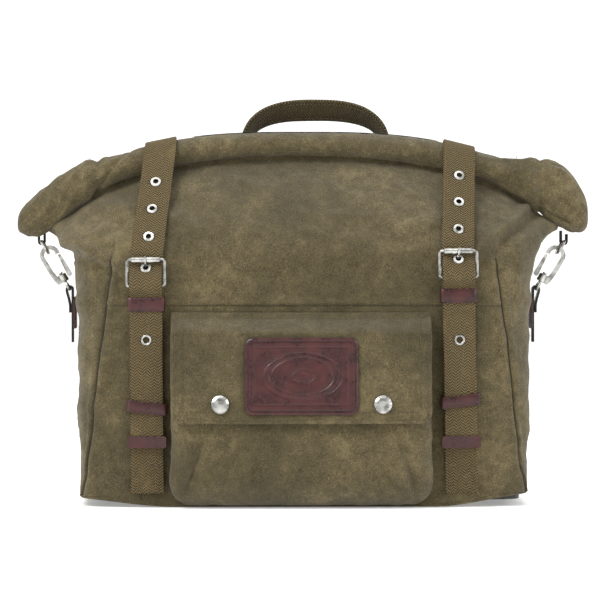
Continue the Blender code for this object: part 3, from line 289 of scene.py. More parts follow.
def swept(name: str, rings: Array, closed_path: bool = False, uv: Array | None = None) -> bpy.types.Object:
    """A solid through rings of points. Open ends are drawn in to a point over two shrinking rings.

    Args:
        name: The piece's name.
        rings: An array of ring, point, coordinate.
        closed_path: True where the last ring joins the first.
        uv: One pair for each point of each ring.

    Returns:
        The solid as an object.
    """
    if not closed_path:
        first, last = rings[:1], rings[-1:]
        first_hub, last_hub = first.mean(axis=1, keepdims=True), last.mean(axis=1, keepdims=True)
        heads = [first_hub + (first - first_hub) * s for s in (0.0, 0.5)]
        tails = [last_hub + (last - last_hub) * s for s in (0.5, 0.0)]
        rings = np.concatenate([*heads, rings, *tails])
        if uv is not None:
            uv = np.concatenate([uv[:1], uv[:1], uv, uv[-1:], uv[-1:]])
    quads = lattice(rings.shape[0], rings.shape[1], wrap_rows=closed_path, wrap_columns=True)
    obj = new_object(name, rings.reshape(-1, 3), quads, None if uv is None else uv.reshape(-1, 2))
    face_outward(obj, merge=1e-7)
    return obj


def join(name: str, parts: Sequence[bpy.types.Object]) -> bpy.types.Object:
    """Joins objects that sit at the origin into one, under a new name."""
    with bpy.context.temp_override(active_object=parts[0], selected_editable_objects=list(parts)):
        bpy.ops.object.join()
    parts[0].name = name
    return parts[0]


def apply_modifiers(obj: bpy.types.Object) -> None:
    """Puts an object's modifiers into its mesh."""
    graph = bpy.context.evaluated_depsgraph_get()
    done = bpy.data.meshes.new_from_object(obj.evaluated_get(graph))
    obj.modifiers.clear()
    obj.data = done


def thread_run(
    points: Array, outward: Array, pitch: float, length: float, radius: float
) -> tuple[Array, Array]:
    """Stitches along a path: each is a bent spindle that rises out of the cloth and dips at both ends.

    A stitch's section is a hexagon of radius r sin(pi t)^0.4, and its middle line rises by r sin(pi t).

    Args:
        points: The path, in metres.
        outward: The cloth's normal at each point of the path.
        pitch: Distance from one stitch to the next.
        length: Length of a stitch.
        radius: Radius of the thread.

    Returns:
        Vertices and quads of all the stitches.
    """
    steps = np.linalg.norm(np.diff(points, axis=0), axis=1)
    lengths = np.concatenate([[0.0], np.cumsum(steps)])
    count = max(int(lengths[-1] / pitch), 1)
    starts = (np.arange(count) + 0.5) * lengths[-1] / count - length / 2
    shares = np.array([0.0, 0.2, 0.5, 0.8, 1.0])
    at = starts[:, None] + shares[None, :] * length
    middle = np.stack([np.interp(at, lengths, points[:, k]) for k in range(3)], axis=-1)
    normal = unit(np.stack([np.interp(at, lengths, outward[:, k]) for k in range(3)], axis=-1))
    tangent = unit(np.gradient(middle, axis=1))
    sideways = np.cross(tangent, normal)
    lift = radius * (np.sin(math.pi * shares) * 1.1 - 0.35)
    size = radius * np.maximum(np.sin(math.pi * shares), 0.06) ** 0.4
    turns = np.arange(6) * math.pi / 3
    ring = (
        np.cos(turns)[:, None] * sideways[..., None, :] + np.sin(turns)[:, None] * normal[..., None, :]
    ) * size[None, :, None, None]
    body = middle[..., None, :] + lift[None, :, None, None] * normal[..., None, :] + ring
    one = lattice(len(shares), 6, wrap_columns=True)
    base = np.arange(count)[:, None, None] * (len(shares) * 6)
    quads = (one[None] + base).reshape(-1, 4)
    caps = np.array([[0, 1, 2, 3], [0, 3, 4, 5]])
    far = (len(shares) - 1) * 6
    ends = np.concatenate([caps[:, ::-1], caps + far])
    quads = np.concatenate([quads, (ends[None] + base).reshape(-1, 4)])
    return body.reshape(-1, 3), quads


class Stitching:
    """Collects runs of stitches, and makes one object of them."""

    def __init__(self, pitch: float = 3.2 * MM, length: float = 2.4 * MM, radius: float = 0.36 * MM) -> None:
        """Starts an empty collection with a stitch's sizes."""
        self.pitch = pitch
        self.length = length
        self.radius = radius
        self.points: list[Array] = []
        self.quads: list[Array] = []
        self.count = 0

    def run(self, points: Array, outward: Array, lift: float = 0.0) -> None:
        """Adds a run along points, lifted out of the cloth.

        Args:
            points: The run's path.
            outward: One normal, or one for each point.
            lift: How far the thread's own bed lies above the points.
        """
        normals = np.broadcast_to(np.asarray(outward, float), points.shape)
        verts, quads = thread_run(points + lift * normals, normals, self.pitch, self.length, self.radius)
        self.points.append(verts)
        self.quads.append(quads + self.count)
        self.count += len(verts)

    def build(self, name: str, finish: bpy.types.Material, body: str) -> bpy.types.Object:
        """Makes the object, gives it its thread and lets it ride.

        Args:
            name: The piece's name.
            finish: The thread's material.
            body: The CAD body that it moves with.

        Returns:
            The object.
        """
        obj = new_object(name, np.concatenate(self.points), np.concatenate(self.quads))
        face_outward(obj)
        return settle(obj, finish, body)


def settle(
    obj: bpy.types.Object, finish: bpy.types.Material, body: str, replaces: Sequence[str] = ()
) -> bpy.types.Object:
    """Gives a piece its material, its body and the nodes that it stands for, and reports it.

    Args:
        obj: The piece.
        finish: Its material.
        body: The CAD body that it rides on.
        replaces: CAD nodes that it hides.

    Returns:
        The same piece.
    """
    obj.data.materials.clear()
    obj.data.materials.append(finish)
    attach(obj, body)
    if replaces:
        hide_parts(*replaces)
    LOG.info("%s: %d faces, rides on %s", obj.name, len(obj.data.polygons), body)
    return obj


# ---------------------------------------------------------------- node graphs

class Graph:
    """A material's node tree, with one way to add a node."""

    def __init__(self, name: str) -> None:
        """Starts a material whose tree holds the output and one Principled shader."""
        self.material = bpy.data.materials.new(name)
        self.material.use_nodes = True
        self.tree = self.material.node_tree
        self.shader = self.tree.nodes["Principled BSDF"]

    def add(self, kind: str, links: dict | None = None, values: dict | None = None, **settings: object):
        """Adds a node with its settings, its plain values and its links.

        Args:
            kind: The node's type name, without the ShaderNode prefix.
            links: Output socket for each input socket's name or number.
            values: Default value for each input socket's name or number.
            **settings: Properties of the node itself.

        Returns:
            The node.
        """
        node = self.tree.nodes.new("ShaderNode" + kind)
        for key, value in settings.items():
            setattr(node, key, value)
        for key, value in (values or {}).items():
            node.inputs[key].default_value = value
        for key, output in (links or {}).items():
            self.tree.links.new(output, node.inputs[key])
        return node

    def math(self, operation: str, *terms: object) -> bpy.types.NodeSocket:
        """A Math node's value, from sockets or numbers."""
        links = {i: t for i, t in enumerate(terms) if isinstance(t, bpy.types.NodeSocket)}
        values = {i: t for i, t in enumerate(terms) if not isinstance(t, bpy.types.NodeSocket)}
        return self.add("Math", links, values, operation=operation).outputs[0]

    def blend(self, share: bpy.types.NodeSocket, first: object, second: object, mode: str = "MIX"):
        """A colour mixed from two sockets or colours by a share."""
        links, values = {0: share}, {}
        for index, term in ((6, first), (7, second)):
            (links if isinstance(term, bpy.types.NodeSocket) else values)[index] = term
        return self.add("Mix", links, values, data_type="RGBA", blend_type=mode).outputs[2]

    def ramp(self, value: bpy.types.NodeSocket, low: float, high: float) -> bpy.types.NodeSocket:
        """A value that goes from zero at low to one at high, eased."""
        return self.add("MapRange", {0: value}, {1: low, 2: high}, interpolation_type="SMOOTHSTEP").outputs[0]

    def finish(
        self, colour: bpy.types.NodeSocket, roughness: bpy.types.NodeSocket, height: bpy.types.NodeSocket,
        depth: float,
    ) -> bpy.types.Material:
        """Links the colour, roughness and a bump of a depth in metres to the shader.

        Returns:
            The material.
        """
        link = self.tree.links.new
        link(colour, self.shader.inputs["Base Color"])
        link(roughness, self.shader.inputs["Roughness"])
        raised = self.add("Bump", {"Height": height}, {"Strength": 1.0, "Distance": depth})
        link(raised.outputs[0], self.shader.inputs["Normal"])
        return self.material


@dataclass(frozen=True)
class WaxedCanvas:
    """Waxed cotton duck: a plain weave under wax, matt, cracked paler where it folds and rubs.

    Attributes:
        name: The material's name.
        dark: Deep waxed colour.
        middle: Main colour.
        light: Rubbed colour, on creases and patches.
        pore: Colour down between the threads.
        thread: Spacing of the weave in metres. Real duck has 0.5 mm; 1.1 mm is drawn, so that it shows.
    """

    name: str = "waxed_cotton_duck"
    dark: str = "3B341D"
    middle: str = "584E33"
    light: str = "7E704E"
    pore: str = "241E10"
    thread: float = 1.1 * MM

    def build(self) -> bpy.types.Material:
        """Clouds of wax in three sizes, pale crackle veins, dark pores, and a woven bump."""
        g = Graph(self.name)
        place = g.add("TexCoord").outputs["Object"]
        clouds = g.add(
            "TexNoise", {"Vector": place}, {"Scale": 9.0, "Detail": 5.0, "Roughness": 0.6}).outputs[0]
        blots = g.add(
            "TexNoise", {"Vector": place}, {"Scale": 90.0, "Detail": 7.0, "Roughness": 0.72}).outputs[0]
        grain = g.add(
            "TexNoise", {"Vector": place}, {"Scale": 1050.0, "Detail": 2.0, "Roughness": 0.6}).outputs[0]
        wander = g.add("TexNoise", {"Vector": place}, {"Scale": 26.0, "Detail": 4.0}).outputs[1]
        bent = g.add("VectorMath", {0: place, 1: wander}, operation="ADD").outputs[0]
        veins = g.add("TexVoronoi", {"Vector": bent}, {"Scale": 13.0, "Randomness": 1.0},
                      feature="DISTANCE_TO_EDGE").outputs[0]
        crack = g.math("MULTIPLY", g.ramp(veins, 0.030, 0.0), g.ramp(clouds, 0.44, 0.58))
        tone = g.math("ADD", g.math("MULTIPLY", clouds, 0.56), g.math("MULTIPLY", blots, 0.44))
        base = g.blend(g.ramp(tone, 0.34, 0.64), linear(self.dark), linear(self.middle))
        base = g.blend(g.math("MULTIPLY", g.ramp(tone, 0.50, 0.72), 0.75), base, linear(self.light))
        base = g.blend(g.math("MULTIPLY", crack, 0.80), base, linear(self.light))
        pale = g.math("MULTIPLY", g.ramp(grain, 0.52, 0.70), 0.40)
        base = g.blend(pale, base, linear(self.light))
        deep = g.math("MULTIPLY", g.ramp(grain, 0.50, 0.34), 0.52)
        base = g.blend(deep, base, linear(self.pore))
        steps = [2 * math.pi / self.thread] * 3
        fine = g.add("VectorMath", {0: place}, {1: steps}, operation="MULTIPLY").outputs[0]
        parts = g.add("SeparateXYZ", {0: fine}).outputs
        weft = g.math("SINE", g.math("ADD", parts[2], g.math("MULTIPLY", blots, 2.0)))
        drift = g.math("ADD", g.math("ADD", parts[0], parts[1]), g.math("MULTIPLY", clouds, 2.0))
        warp = g.math("SINE", drift)
        woven = g.math("MULTIPLY", weft, warp)
        height = g.math("ADD", g.math("MULTIPLY", woven, 0.22), g.math("MULTIPLY", grain, 0.75))
        height = g.math("ADD", height, g.math("MULTIPLY", blots, 1.0))
        rough = g.math("SUBTRACT", 0.86, g.math("MULTIPLY", g.ramp(blots, 0.3, 0.7), 0.16))
        g.shader.inputs["Sheen Weight"].default_value = 0.12
        g.shader.inputs["Sheen Roughness"].default_value = 0.5
        g.shader.inputs["Specular IOR Level"].default_value = 0.28
        return g.finish(base, rough, height, 0.7 * MM)


@dataclass(frozen=True)
class Webbing:
    """Woven polypropylene or cotton webbing: ribs across its width and pale flecks where yarns cross.

    Attributes:
        name: The material's name.
        dark: Colour down between the yarns.
        light: Colour on top of the yarns.
        fleck: Colour of single pale yarns.
        rib: Spacing of the ribs in metres. Real ribs are 1.2 mm; 2.7 mm is drawn, so that they show.
        yarn: Spacing of the yarns in metres. Real yarns are 1.0 mm; 2.3 mm is drawn, so that they show.
        weave: Which way the ribs run.
        width: Width of the strap, on which the herringbone turns at its middle.
    """

    name: str
    dark: str
    light: str
    fleck: str
    rib: float = 2.7 * MM
    yarn: float = 2.3 * MM
    weave: Weave = Weave.HERRINGBONE
    width: float = 30.0 * MM

    def build(self) -> bpy.types.Material:
        """Slanted ribs from the uv map's metres, broken up by a fine noise."""
        g = Graph(self.name)
        uv = g.add("UVMap", uv_map="cloth").outputs[0]
        place = g.add("TexCoord").outputs["Object"]
        parts = g.add("SeparateXYZ", {0: uv}).outputs
        across, along = parts[0], parts[1]
        if self.weave is Weave.HERRINGBONE:
            turn = g.math("ABSOLUTE", g.math("SUBTRACT", g.math("FRACT", g.math(
                "DIVIDE", across, self.width / 4)), 0.5))
            slant = g.math("MULTIPLY", turn, self.width / 4 * 0.5)
        else:
            slant = g.math("MULTIPLY", across, 0.0)
        noise = g.add(
            "TexNoise", {"Vector": place}, {"Scale": 900.0, "Detail": 3.0, "Roughness": 0.7}).outputs[0]
        slow = g.add("TexNoise", {"Vector": place}, {"Scale": 60.0, "Detail": 4.0}).outputs[0]
        turnings = g.math("MULTIPLY", g.math("ADD", along, slant), 2 * math.pi / self.rib)
        ribs = g.math("SINE", turnings)
        yarn = g.math("SINE", g.math("MULTIPLY", across, 2 * math.pi / self.yarn))
        top = g.ramp(g.math("ADD", g.math("MULTIPLY", ribs, yarn), g.math("MULTIPLY", noise, 0.9)), 0.0, 0.95)
        colour = g.blend(top, linear(self.dark), linear(self.light))
        flecks = g.math("MULTIPLY", g.ramp(noise, 0.58, 0.72), g.ramp(ribs, 0.0, 0.8))
        colour = g.blend(g.math("MULTIPLY", flecks, 0.75), colour, linear(self.fleck))
        colour = g.blend(g.math("MULTIPLY", g.ramp(slow, 0.55, 0.8), 0.35), colour, linear(self.light))
        height = g.math("ADD", g.math("MULTIPLY", g.math("MULTIPLY", ribs, yarn), 0.5), g.math(
            "ADD", g.math("MULTIPLY", ribs, 0.5), g.math("MULTIPLY", noise, 0.8)))
        rough = g.math("ADD", 0.72, g.math("MULTIPLY", noise, 0.2))
        g.shader.inputs["Specular IOR Level"].default_value = 0.25
        return g.finish(colour, rough, height, 0.70 * MM)


@dataclass(frozen=True)
class Leather:
    """Finished cowhide: pebbled grain under a glossy coat, darker in its pores and rubbed at raised places.

    Attributes:
        name: The material's name.
        dark: Colour of pores and edges.
        light: Colour of the face.
        gloss: Roughness of the smooth parts.
        grain: Spacing of the pebbles in metres. Real grain is 0.6 mm; 1.4 mm is drawn, so that it shows.
    """

    name: str
    dark: str
    light: str
    gloss: float = 0.30
    grain: float = 1.4 * MM

    def build(self) -> bpy.types.Material:
        """A cell pattern for the pebbles, a slower noise for uneven dye."""
        g = Graph(self.name)
        place = g.add("TexCoord").outputs["Object"]
        cells = g.add("TexVoronoi", {"Vector": place}, {"Scale": 1.0 / self.grain, "Randomness": 0.9},
                      feature="SMOOTH_F1").outputs[0]
        dye = g.add(
            "TexNoise", {"Vector": place}, {"Scale": 70.0, "Detail": 5.0, "Roughness": 0.65}).outputs[0]
        colour = g.blend(g.ramp(g.math("SUBTRACT", dye, g.math("MULTIPLY", cells, 0.15)), 0.25, 0.65),
                         linear(self.dark), linear(self.light))
        height = g.math("ADD", g.math("MULTIPLY", cells, -0.8), g.math("MULTIPLY", dye, 1.2))
        rough = g.math("ADD", self.gloss, g.math("MULTIPLY", g.ramp(dye, 0.35, 0.7), 0.18))
        g.shader.inputs["Specular IOR Level"].default_value = 0.35
        g.shader.inputs["Coat Weight"].default_value = 0.12
        g.shader.inputs["Coat Roughness"].default_value = 0.22
        return g.finish(colour, rough, height, 0.25 * MM)


@dataclass(frozen=True)
class NickelPlate:
    """Bright nickel plate on die-cast zinc: mirror-like, with faint polishing marks, slight hazing, and
    darker patches of painted reflection.

    Attributes:
        name: The material's name.
        bright: Colour of the clean plate.
        dull: Colour of the darker patches, painted reflection that stands in for dark surroundings mirrored
            in the plate.
        polish: Lowest roughness.
    """

    name: str = "nickel_plated_zinc"
    bright: str = "BDBCB8"
    dull: str = "6E6C67"
    polish: float = 0.16

    def build(self) -> bpy.types.Material:
        """A slow noise gives darker colour patches of painted reflection, and hazing in the roughness;
        polishing marks come from a stretched fine one.
        """
        g = Graph(self.name)
        place = g.add("TexCoord").outputs["Object"]
        haze_and_painted_reflection = g.add("TexNoise", {"Vector": place}, {"Scale": 160.0, "Detail": 4.0}).outputs[0]
        squeezed = g.add("Mapping", {0: place}, {3: (2200.0, 2200.0, 240.0)}).outputs[0]
        marks = g.add("TexNoise", {"Vector": squeezed}, {"Scale": 1.0, "Detail": 2.0}).outputs[0]
        # Painted reflection: the slow noise darkens the plate's colour in patches, standing in for dark
        # surroundings mirrored in it.
        colour = g.blend(g.ramp(haze_and_painted_reflection, 0.35, 0.75), linear(self.bright), linear(self.dull))
        rough = g.math("ADD", self.polish, g.math("MULTIPLY", haze_and_painted_reflection, 0.16))
        g.shader.inputs["Metallic"].default_value = 1.0
        return g.finish(colour, rough, marks, 0.02 * MM)


@dataclass(frozen=True)
class Thread:
    """Bonded polyester sewing thread: twisted, with a slight shine.

    Attributes:
        name: The material's name.
        dark: Colour between the twists.
        light: Colour on the twists.
    """

    name: str
    dark: str
    light: str

    def build(self) -> bpy.types.Material:
        """A fine noise stands for the twist, which is under 0.3 mm."""
        g = Graph(self.name)
        place = g.add("TexCoord").outputs["Object"]
        twist = g.add("TexNoise", {"Vector": place}, {"Scale": 1500.0, "Detail": 2.0}).outputs[0]
        colour = g.blend(g.ramp(twist, 0.35, 0.65), linear(self.dark), linear(self.light))
        rough = g.math("ADD", 0.5, g.math("MULTIPLY", twist, 0.25))
        return g.finish(colour, rough, twist, 0.08 * MM)


@dataclass(frozen=True)
class PlainSurface:
    """Coated lining, board, or the studio's floor: one colour with a fine mottle.

    Attributes:
        name: The material's name.
        dark: Colour in the hollows of the mottle.
        light: Colour on top.
        rough: Lowest roughness.
        size: Size of the mottle in metres.
    """

    name: str
    dark: str
    light: str
    rough: float
    size: float

    def build(self) -> bpy.types.Material:
        """A noise of the mottle's size drives colour, roughness and a shallow bump."""
        g = Graph(self.name)
        place = g.add("TexCoord").outputs["Object"]
        mottle = g.add("TexNoise", {"Vector": place}, {"Scale": 1.0 / self.size, "Detail": 4.0}).outputs[0]
        colour = g.blend(g.ramp(mottle, 0.3, 0.7), linear(self.dark), linear(self.light))
        rough = g.math("ADD", self.rough, g.math("MULTIPLY", mottle, 0.1))
        return g.finish(colour, rough, mottle, 0.05 * MM)


@dataclass
class Finishes:
    """Every material, built once."""

    canvas: bpy.types.Material = field(default_factory=lambda: WaxedCanvas().build())
    webbing: bpy.types.Material = field(
        default_factory=lambda: Webbing("olive_cotton_webbing", "211B0E", "776746", "A2946F").build())
    handle: bpy.types.Material = field(
        default_factory=lambda: Webbing("handle_cotton_webbing", "1E190E", "665A3E", "8F8260").build())
    black: bpy.types.Material = field(
        default_factory=lambda: Webbing(
            "black_nylon_webbing", "0B0B0A", "232220", "3A3936", weave=Weave.PLAIN, width=16.0 * MM).build())
    leather: bpy.types.Material = field(
        default_factory=lambda: Leather("burgundy_cowhide", "2A0E0E", "431A18", 0.24).build())
    black_leather: bpy.types.Material = field(
        default_factory=lambda: Leather("black_cowhide", "090808", "1B1918", 0.34).build())
    nickel: bpy.types.Material = field(default_factory=lambda: NickelPlate().build())
    thread: bpy.types.Material = field(
        default_factory=lambda: Thread("olive_polyester_thread", "3A331F", "5E5438").build())
    dark_thread: bpy.types.Material = field(
        default_factory=lambda: Thread("dark_polyester_thread", "150D0B", "33211D").build())
    liner: bpy.types.Material = field(
        default_factory=lambda: PlainSurface("coated_nylon_lining", "0E0E0E", "1A1A19", 0.42, 3 * MM).build())
    board: bpy.types.Material = field(
        default_factory=lambda: PlainSurface("polypropylene_board", "111111", "1E1E1E", 0.5, 4 * MM).build())
    # Painted shade: a dark material for the cords sunk along the corner seams, standing in for the shadow in
    # each seam's fold.
    shadow: bpy.types.Material = field(
        default_factory=lambda: PlainSurface("seam_binding_tape", "1E1A0F", "3A3320", 0.85, 1.5 * MM).build())


# ---------------------------------------------------------------- canvas body

@dataclass
class CanvasBody:
    """The bag's canvas shell: front in two panels, back, two gussets and the base.

    Its section is a superellipse that is square at the base, and narrows in depth to the mouth. Heights
    go straight up to the shoulder, then to the roll's drooping underside.
    """

    finishes: Finishes
    base_width: float = 0.420
    base_depth: float = 0.170
    base_thickness: float = 0.003
    base_squareness: float = 8.0
    wall: float = 0.0022
    shoulder: float = 0.232
    shoulder_share: float = 0.65
    flare: float = 0.004
    shoulder_squareness: float = 5.0
    belly: float = 0.004
    mouth_width: float = 0.476
    mouth_depth: float = 0.020
    mouth_squareness: float = 4.0
    front_widths: tuple[float, float, float] = (0.414, 0.356, 0.400)
    seam_height: float = 0.187
    roll_length: float = 0.540
    roll_height: float = 0.336
    droop: float = 0.070
    droop_power: float = 2.6
    ear_start: float = 0.170
    ear_full: float = 0.235
    thin: float = 0.012
    thick: float = 0.026
    corner_lift: tuple[float, float] = (0.007, 0.011)
    mouth_rise: float = 1.03  # the cloth goes on up into the roll

    def roll_centre(self, x: Array) -> Array:
        """Height of the roll's middle: its top height less droop times (|x| / half length) to a power."""
        return self.roll_height - self.droop * (np.abs(x) / (self.roll_length / 2)) ** self.droop_power

    def roll_half(self, x: Array) -> Array:
        """Half the roll's height, which grows from its thin middle to its ears."""
        places, halves = (0.0, self.ear_start, self.ear_full), (self.thin, self.thin + 0.002, self.thick)
        return ease(np.abs(x), places, halves)

    def section(self, rise: Array) -> tuple[Array, Array, Array, Array]:
        """Half width, half depth, squareness and the front's half width at a rise from 0 to 1."""
        low = np.clip(rise / self.shoulder_share, 0.0, 1.0)
        high = np.clip((rise - self.shoulder_share) / (1.0 - self.shoulder_share), 0.0, 1.0)
        wide = self.base_width / 2 + self.flare
        half_width = self.base_width / 2 + self.flare * low + (self.mouth_width / 2 - wide) * high**1.5
        half_depth = self.base_depth / 2 + self.belly * np.sin(math.pi * low)
        half_depth = half_depth - (self.base_depth - self.mouth_depth) / 2 * high**1.7
        square = self.base_squareness + (self.shoulder_squareness - self.base_squareness) * low
        square = square + (self.mouth_squareness - self.shoulder_squareness) * high
        base, shoulder, mouth = (width / 2 for width in self.front_widths)
        return half_width, half_depth, square, base + (shoulder - base) * low + (mouth - shoulder) * high

    def height(self, x: Array, rise: Array) -> Array:
        """Height at a rise: straight walls to the shoulder, then on to the roll's underside."""
        low = np.clip(rise / self.shoulder_share, 0.0, None)
        high = (rise - self.shoulder_share) / (1.0 - self.shoulder_share)
        foot = self.base_thickness + GAP
        mouth = self.roll_centre(x) - self.roll_half(x) - GAP
        return np.where(rise < self.shoulder_share, foot + (self.shoulder - foot) * low,
                        self.shoulder + (mouth - self.shoulder) * high)

    def point(self, angle: Array, rise: Array) -> Array:
        """A superellipse's point, x = a cos^(2/n), y = b sin^(2/n), kept in front of the flat back."""
        half_width, half_depth, square, _ = self.section(rise)
        x = half_width * np.sign(np.cos(angle)) * np.abs(np.cos(angle)) ** (2 / square)
        y = half_depth * np.sign(np.sin(angle)) * np.abs(np.sin(angle)) ** (2 / square)
        return np.stack([x, np.minimum(y, self.base_depth / 2), self.height(x, rise)], axis=-1)

    def angle(self, x: Array, rise: Array, face: float) -> Array:
        """The section's angle at x on the front, face -1, or on the back, face 1."""
        half_width, _, square, _ = self.section(rise)
        share = np.clip(np.abs(x) / half_width, 0.0, 1.0) ** (square / 2)
        return face * np.arccos(np.sign(x) * share)

    def rise_at(self, height: float) -> float:
        """The rise of a height under the shoulder."""
        foot = self.base_thickness + GAP
        return self.shoulder_share * (height - foot) / (self.shoulder - foot)

    def front_y(self, x: Array, rise: Array) -> Array:
        """Depth coordinate of the plain front at x."""
        half_width, half_depth, square, _ = self.section(rise)
        return -half_depth * (1.0 - (np.abs(x) / half_width) ** square) ** (1.0 / square)

    def slack(self, points: Array) -> Array:
        """How far cloth moves out at points of the shell: creases, diagonal folds from the ears, and sag.

        Folds are ridges exp(-d^2 / w^2), d the distance from a slanted line. They fade under the straps,
        at the base and where the pocket is sewn.

        Args:
            points: Points of the plain shell.

        Returns:
            Distances in metres along the normals.
        """
        x, y, z = points[..., 0], points[..., 1], points[..., 2]
        along = x + 0.9 * y
        crease = 0.0034 * Crumple(11, 0.150, 9, 75.0, 42.0).at(along, z)
        crease += 0.0009 * Crumple(23, 0.050, 12, 50.0, 80.0).at(along, z)
        wing = ease(z, (0.150, 0.225, 0.290), (0.15, 1.0, 0.5)) * ease(np.abs(x), (0.10, 0.19), (0.25, 1.0))
        crease += wing * 0.0024 * Crumple(5, 0.070, 8, 35.0, 35.0).at(np.abs(x) + 0.6 * y, z)
        crease += 0.0075 * bump(z, 0.246, 0.026) * ease(np.abs(x), (0.170, 0.212), (0.0, 1.0))
        front = (y < 0.02).astype(float)
        folds = np.zeros_like(x)
        for x0, z0, slope, width, tall in (
            (-0.176, 0.226, -0.49, 0.0052, 0.0074), (0.172, 0.246, 0.76, 0.0052, 0.0074),
            (-0.120, 0.268, -0.20, 0.0070, 0.0032), (0.108, 0.262, 0.24, 0.0070, 0.0032),
            (-0.190, 0.205, 0.9, 0.0065, 0.0026), (0.196, 0.208, -1.0, 0.0065, 0.0026),
            (-0.176, 0.150, 2.2, 0.0080, 0.0018), (0.190, 0.140, -2.6, 0.0080, 0.0020),
        ):
            away = ((z - z0) - slope * (x - x0)) / math.hypot(1.0, slope)
            near = bump(x, x0 + 0.022 * np.sign(x0), 0.038)
            folds += tall * near * (bump(away, 0.0, width) - 0.55 * bump(away, -1.9 * width, width * 1.3))
        dips = -0.0022 * bump(z, 0.030, 0.022) * bump(np.abs(x), 0.175, 0.030)
        calm = np.ones_like(x)
        for centre in (-0.145, 0.143):
            calm -= 0.86 * bump(x, centre, 0.017) * front
        under_pocket = ease(np.abs(x + 0.0035), (0.105, 0.128), (1.0, 0.0))
        under_pocket = under_pocket * ease(z, (0.165, 0.19), (1.0, 0.0))
        calm *= 1.0 - 0.9 * under_pocket * front
        calm *= ease(z, (0.003, 0.030), (0.25, 1.0))
        flat_back = ease(y, (0.060, 0.080), (0.0, 1.0)) * ease(z, (0.220, 0.250), (1.0, 0.0))
        calm *= 1.0 - 0.8 * flat_back
        return (crease + folds * front + dips * front) * np.clip(calm, 0.06, 1.0)

    def limit(self, points: Array, moved: Array) -> Array:
        """Keeps moved points in the CAD's room: in front of the flat back, and above the middle of the base.
        """
        moved[..., 1] = np.minimum(moved[..., 1], self.base_depth / 2 + 0.0004)
        moved[..., 2] = np.maximum(moved[..., 2], self.base_thickness * 0.5)
        return moved

    def settle_corners(self, points: Array) -> Array:
        """Lifts the soft bottom corners, by up to the rise of each side, fading out up the wall."""
        share = ease(np.abs(points[..., 0]), (0.120, 0.212), (0.0, 1.0))
        lift = np.where(points[..., 0] < 0, self.corner_lift[0], self.corner_lift[1])
        moved = points.copy()
        moved[..., 2] += share * lift * ease(points[..., 2], (0.0, 0.075), (1.0, 0.0))
        return moved

    def panel(
        self, name: str, angles: Array, rises: Array, outward: Array, pull_in: float = 0.0020,
        over: float = 0.0,
    ) -> None:
        """One canvas panel whose four edges are drawn in towards its seams.

        Args:
            name: The piece's name.
            angles: A grid of section angles.
            rises: A grid of rises.
            outward: The way that it faces.
            pull_in: How deep the cloth dips at a seam.
            over: How deep it dips above the shoulder, where one panel only folds over the other.
        """
        plain = self.point(angles, rises)
        normals = grid_normals(plain)
        middle = normals[normals.shape[0] // 2, normals.shape[1] // 2]
        if float(middle @ np.asarray(outward)) < 0:
            normals = -normals
        rows, columns = plain.shape[:2]
        span = np.linalg.norm(plain[rows // 2, -1] - plain[rows // 2, 0])
        from_side = np.minimum(np.linspace(0, 1, columns), np.linspace(1, 0, columns))[None, :] * span
        sewn = ease(plain[..., 2], (0.222, 0.244), (1.0, 0.0))
        tuck = (pull_in * sewn + over * (1.0 - sewn)) * np.exp(-((from_side / 0.0035) ** 2))
        fullness = 0.0014 * np.exp(-(((from_side - 0.011) / 0.007) ** 2)) * sewn
        moved = plain + (self.slack(plain) - tuck + fullness)[..., None] * normals
        low = plain[..., 2]
        upper = (low > self.seam_height) * (abs(outward[1]) > 0.5)
        lap = bump(low, self.seam_height + 0.0016, 0.0022) * upper
        moved = moved + (0.0019 * lap * (outward[1] < 0))[..., None] * normals
        moved = self.settle_corners(self.limit(plain, moved))
        sheet = cloth_sheet(name, moved, self.wall, np.asarray(outward))
        nodes = [name.replace("canvas_", "")]
        settle(sheet, self.finishes.canvas, "bag", nodes)

    def front_grid(
        self, low: float, high: float, rows: int, columns: int, face: float
    ) -> tuple[Array, Array]:
        """Angles and rises of a front or back panel between two rises, closer together near its sides."""
        rises = np.linspace(low, high, rows)[:, None]
        half = self.section(rises)[3] - 0.0003
        even = np.linspace(-1.0, 1.0, columns)[None, :] * -face
        share = np.sign(even) * (1.0 - (1.0 - np.abs(even)) ** 1.35)
        x = half * share
        return self.angle(x, rises, face), np.broadcast_to(rises, x.shape)

    def build(self) -> None:
        """Makes every canvas panel and the seams between them."""
        seam = self.rise_at(self.seam_height)
        self.panel("canvas_front_panel_lower", *self.front_grid(0.0, seam - 0.001, 80, 170, -1.0), (0, -1, 0))
        upper = self.front_grid(seam + 0.0006, self.mouth_rise, 90, 170, -1.0)
        self.panel("canvas_front_panel_upper", *upper, (0, -1, 0))
        self.panel("canvas_back_panel", *self.front_grid(0.0, self.mouth_rise, 140, 150, 1.0), (0, 1, 0))
        rises = np.linspace(0.0, self.mouth_rise, 140)[:, None]
        under = 0.05 * ease(rises, (self.shoulder_share * 0.97, self.shoulder_share * 1.06), (0.0, 1.0))
        corner = self.angle(self.section(rises)[3], rises, 1.0) - 0.0035 + under
        share = np.linspace(-1.0, 1.0, 90)[None, :]
        for side in Side:
            angles = corner * np.sign(share) * (1.0 - (1.0 - np.abs(share)) ** 1.3)
            if side is Side.LEFT:
                angles = angles + math.pi
            self.panel(f"canvas_{side.label}_gusset", angles, np.broadcast_to(rises, angles.shape),
                       (side.value, 0, 0), over=0.0042)
        self.build_base()
        self.build_seams(seam)

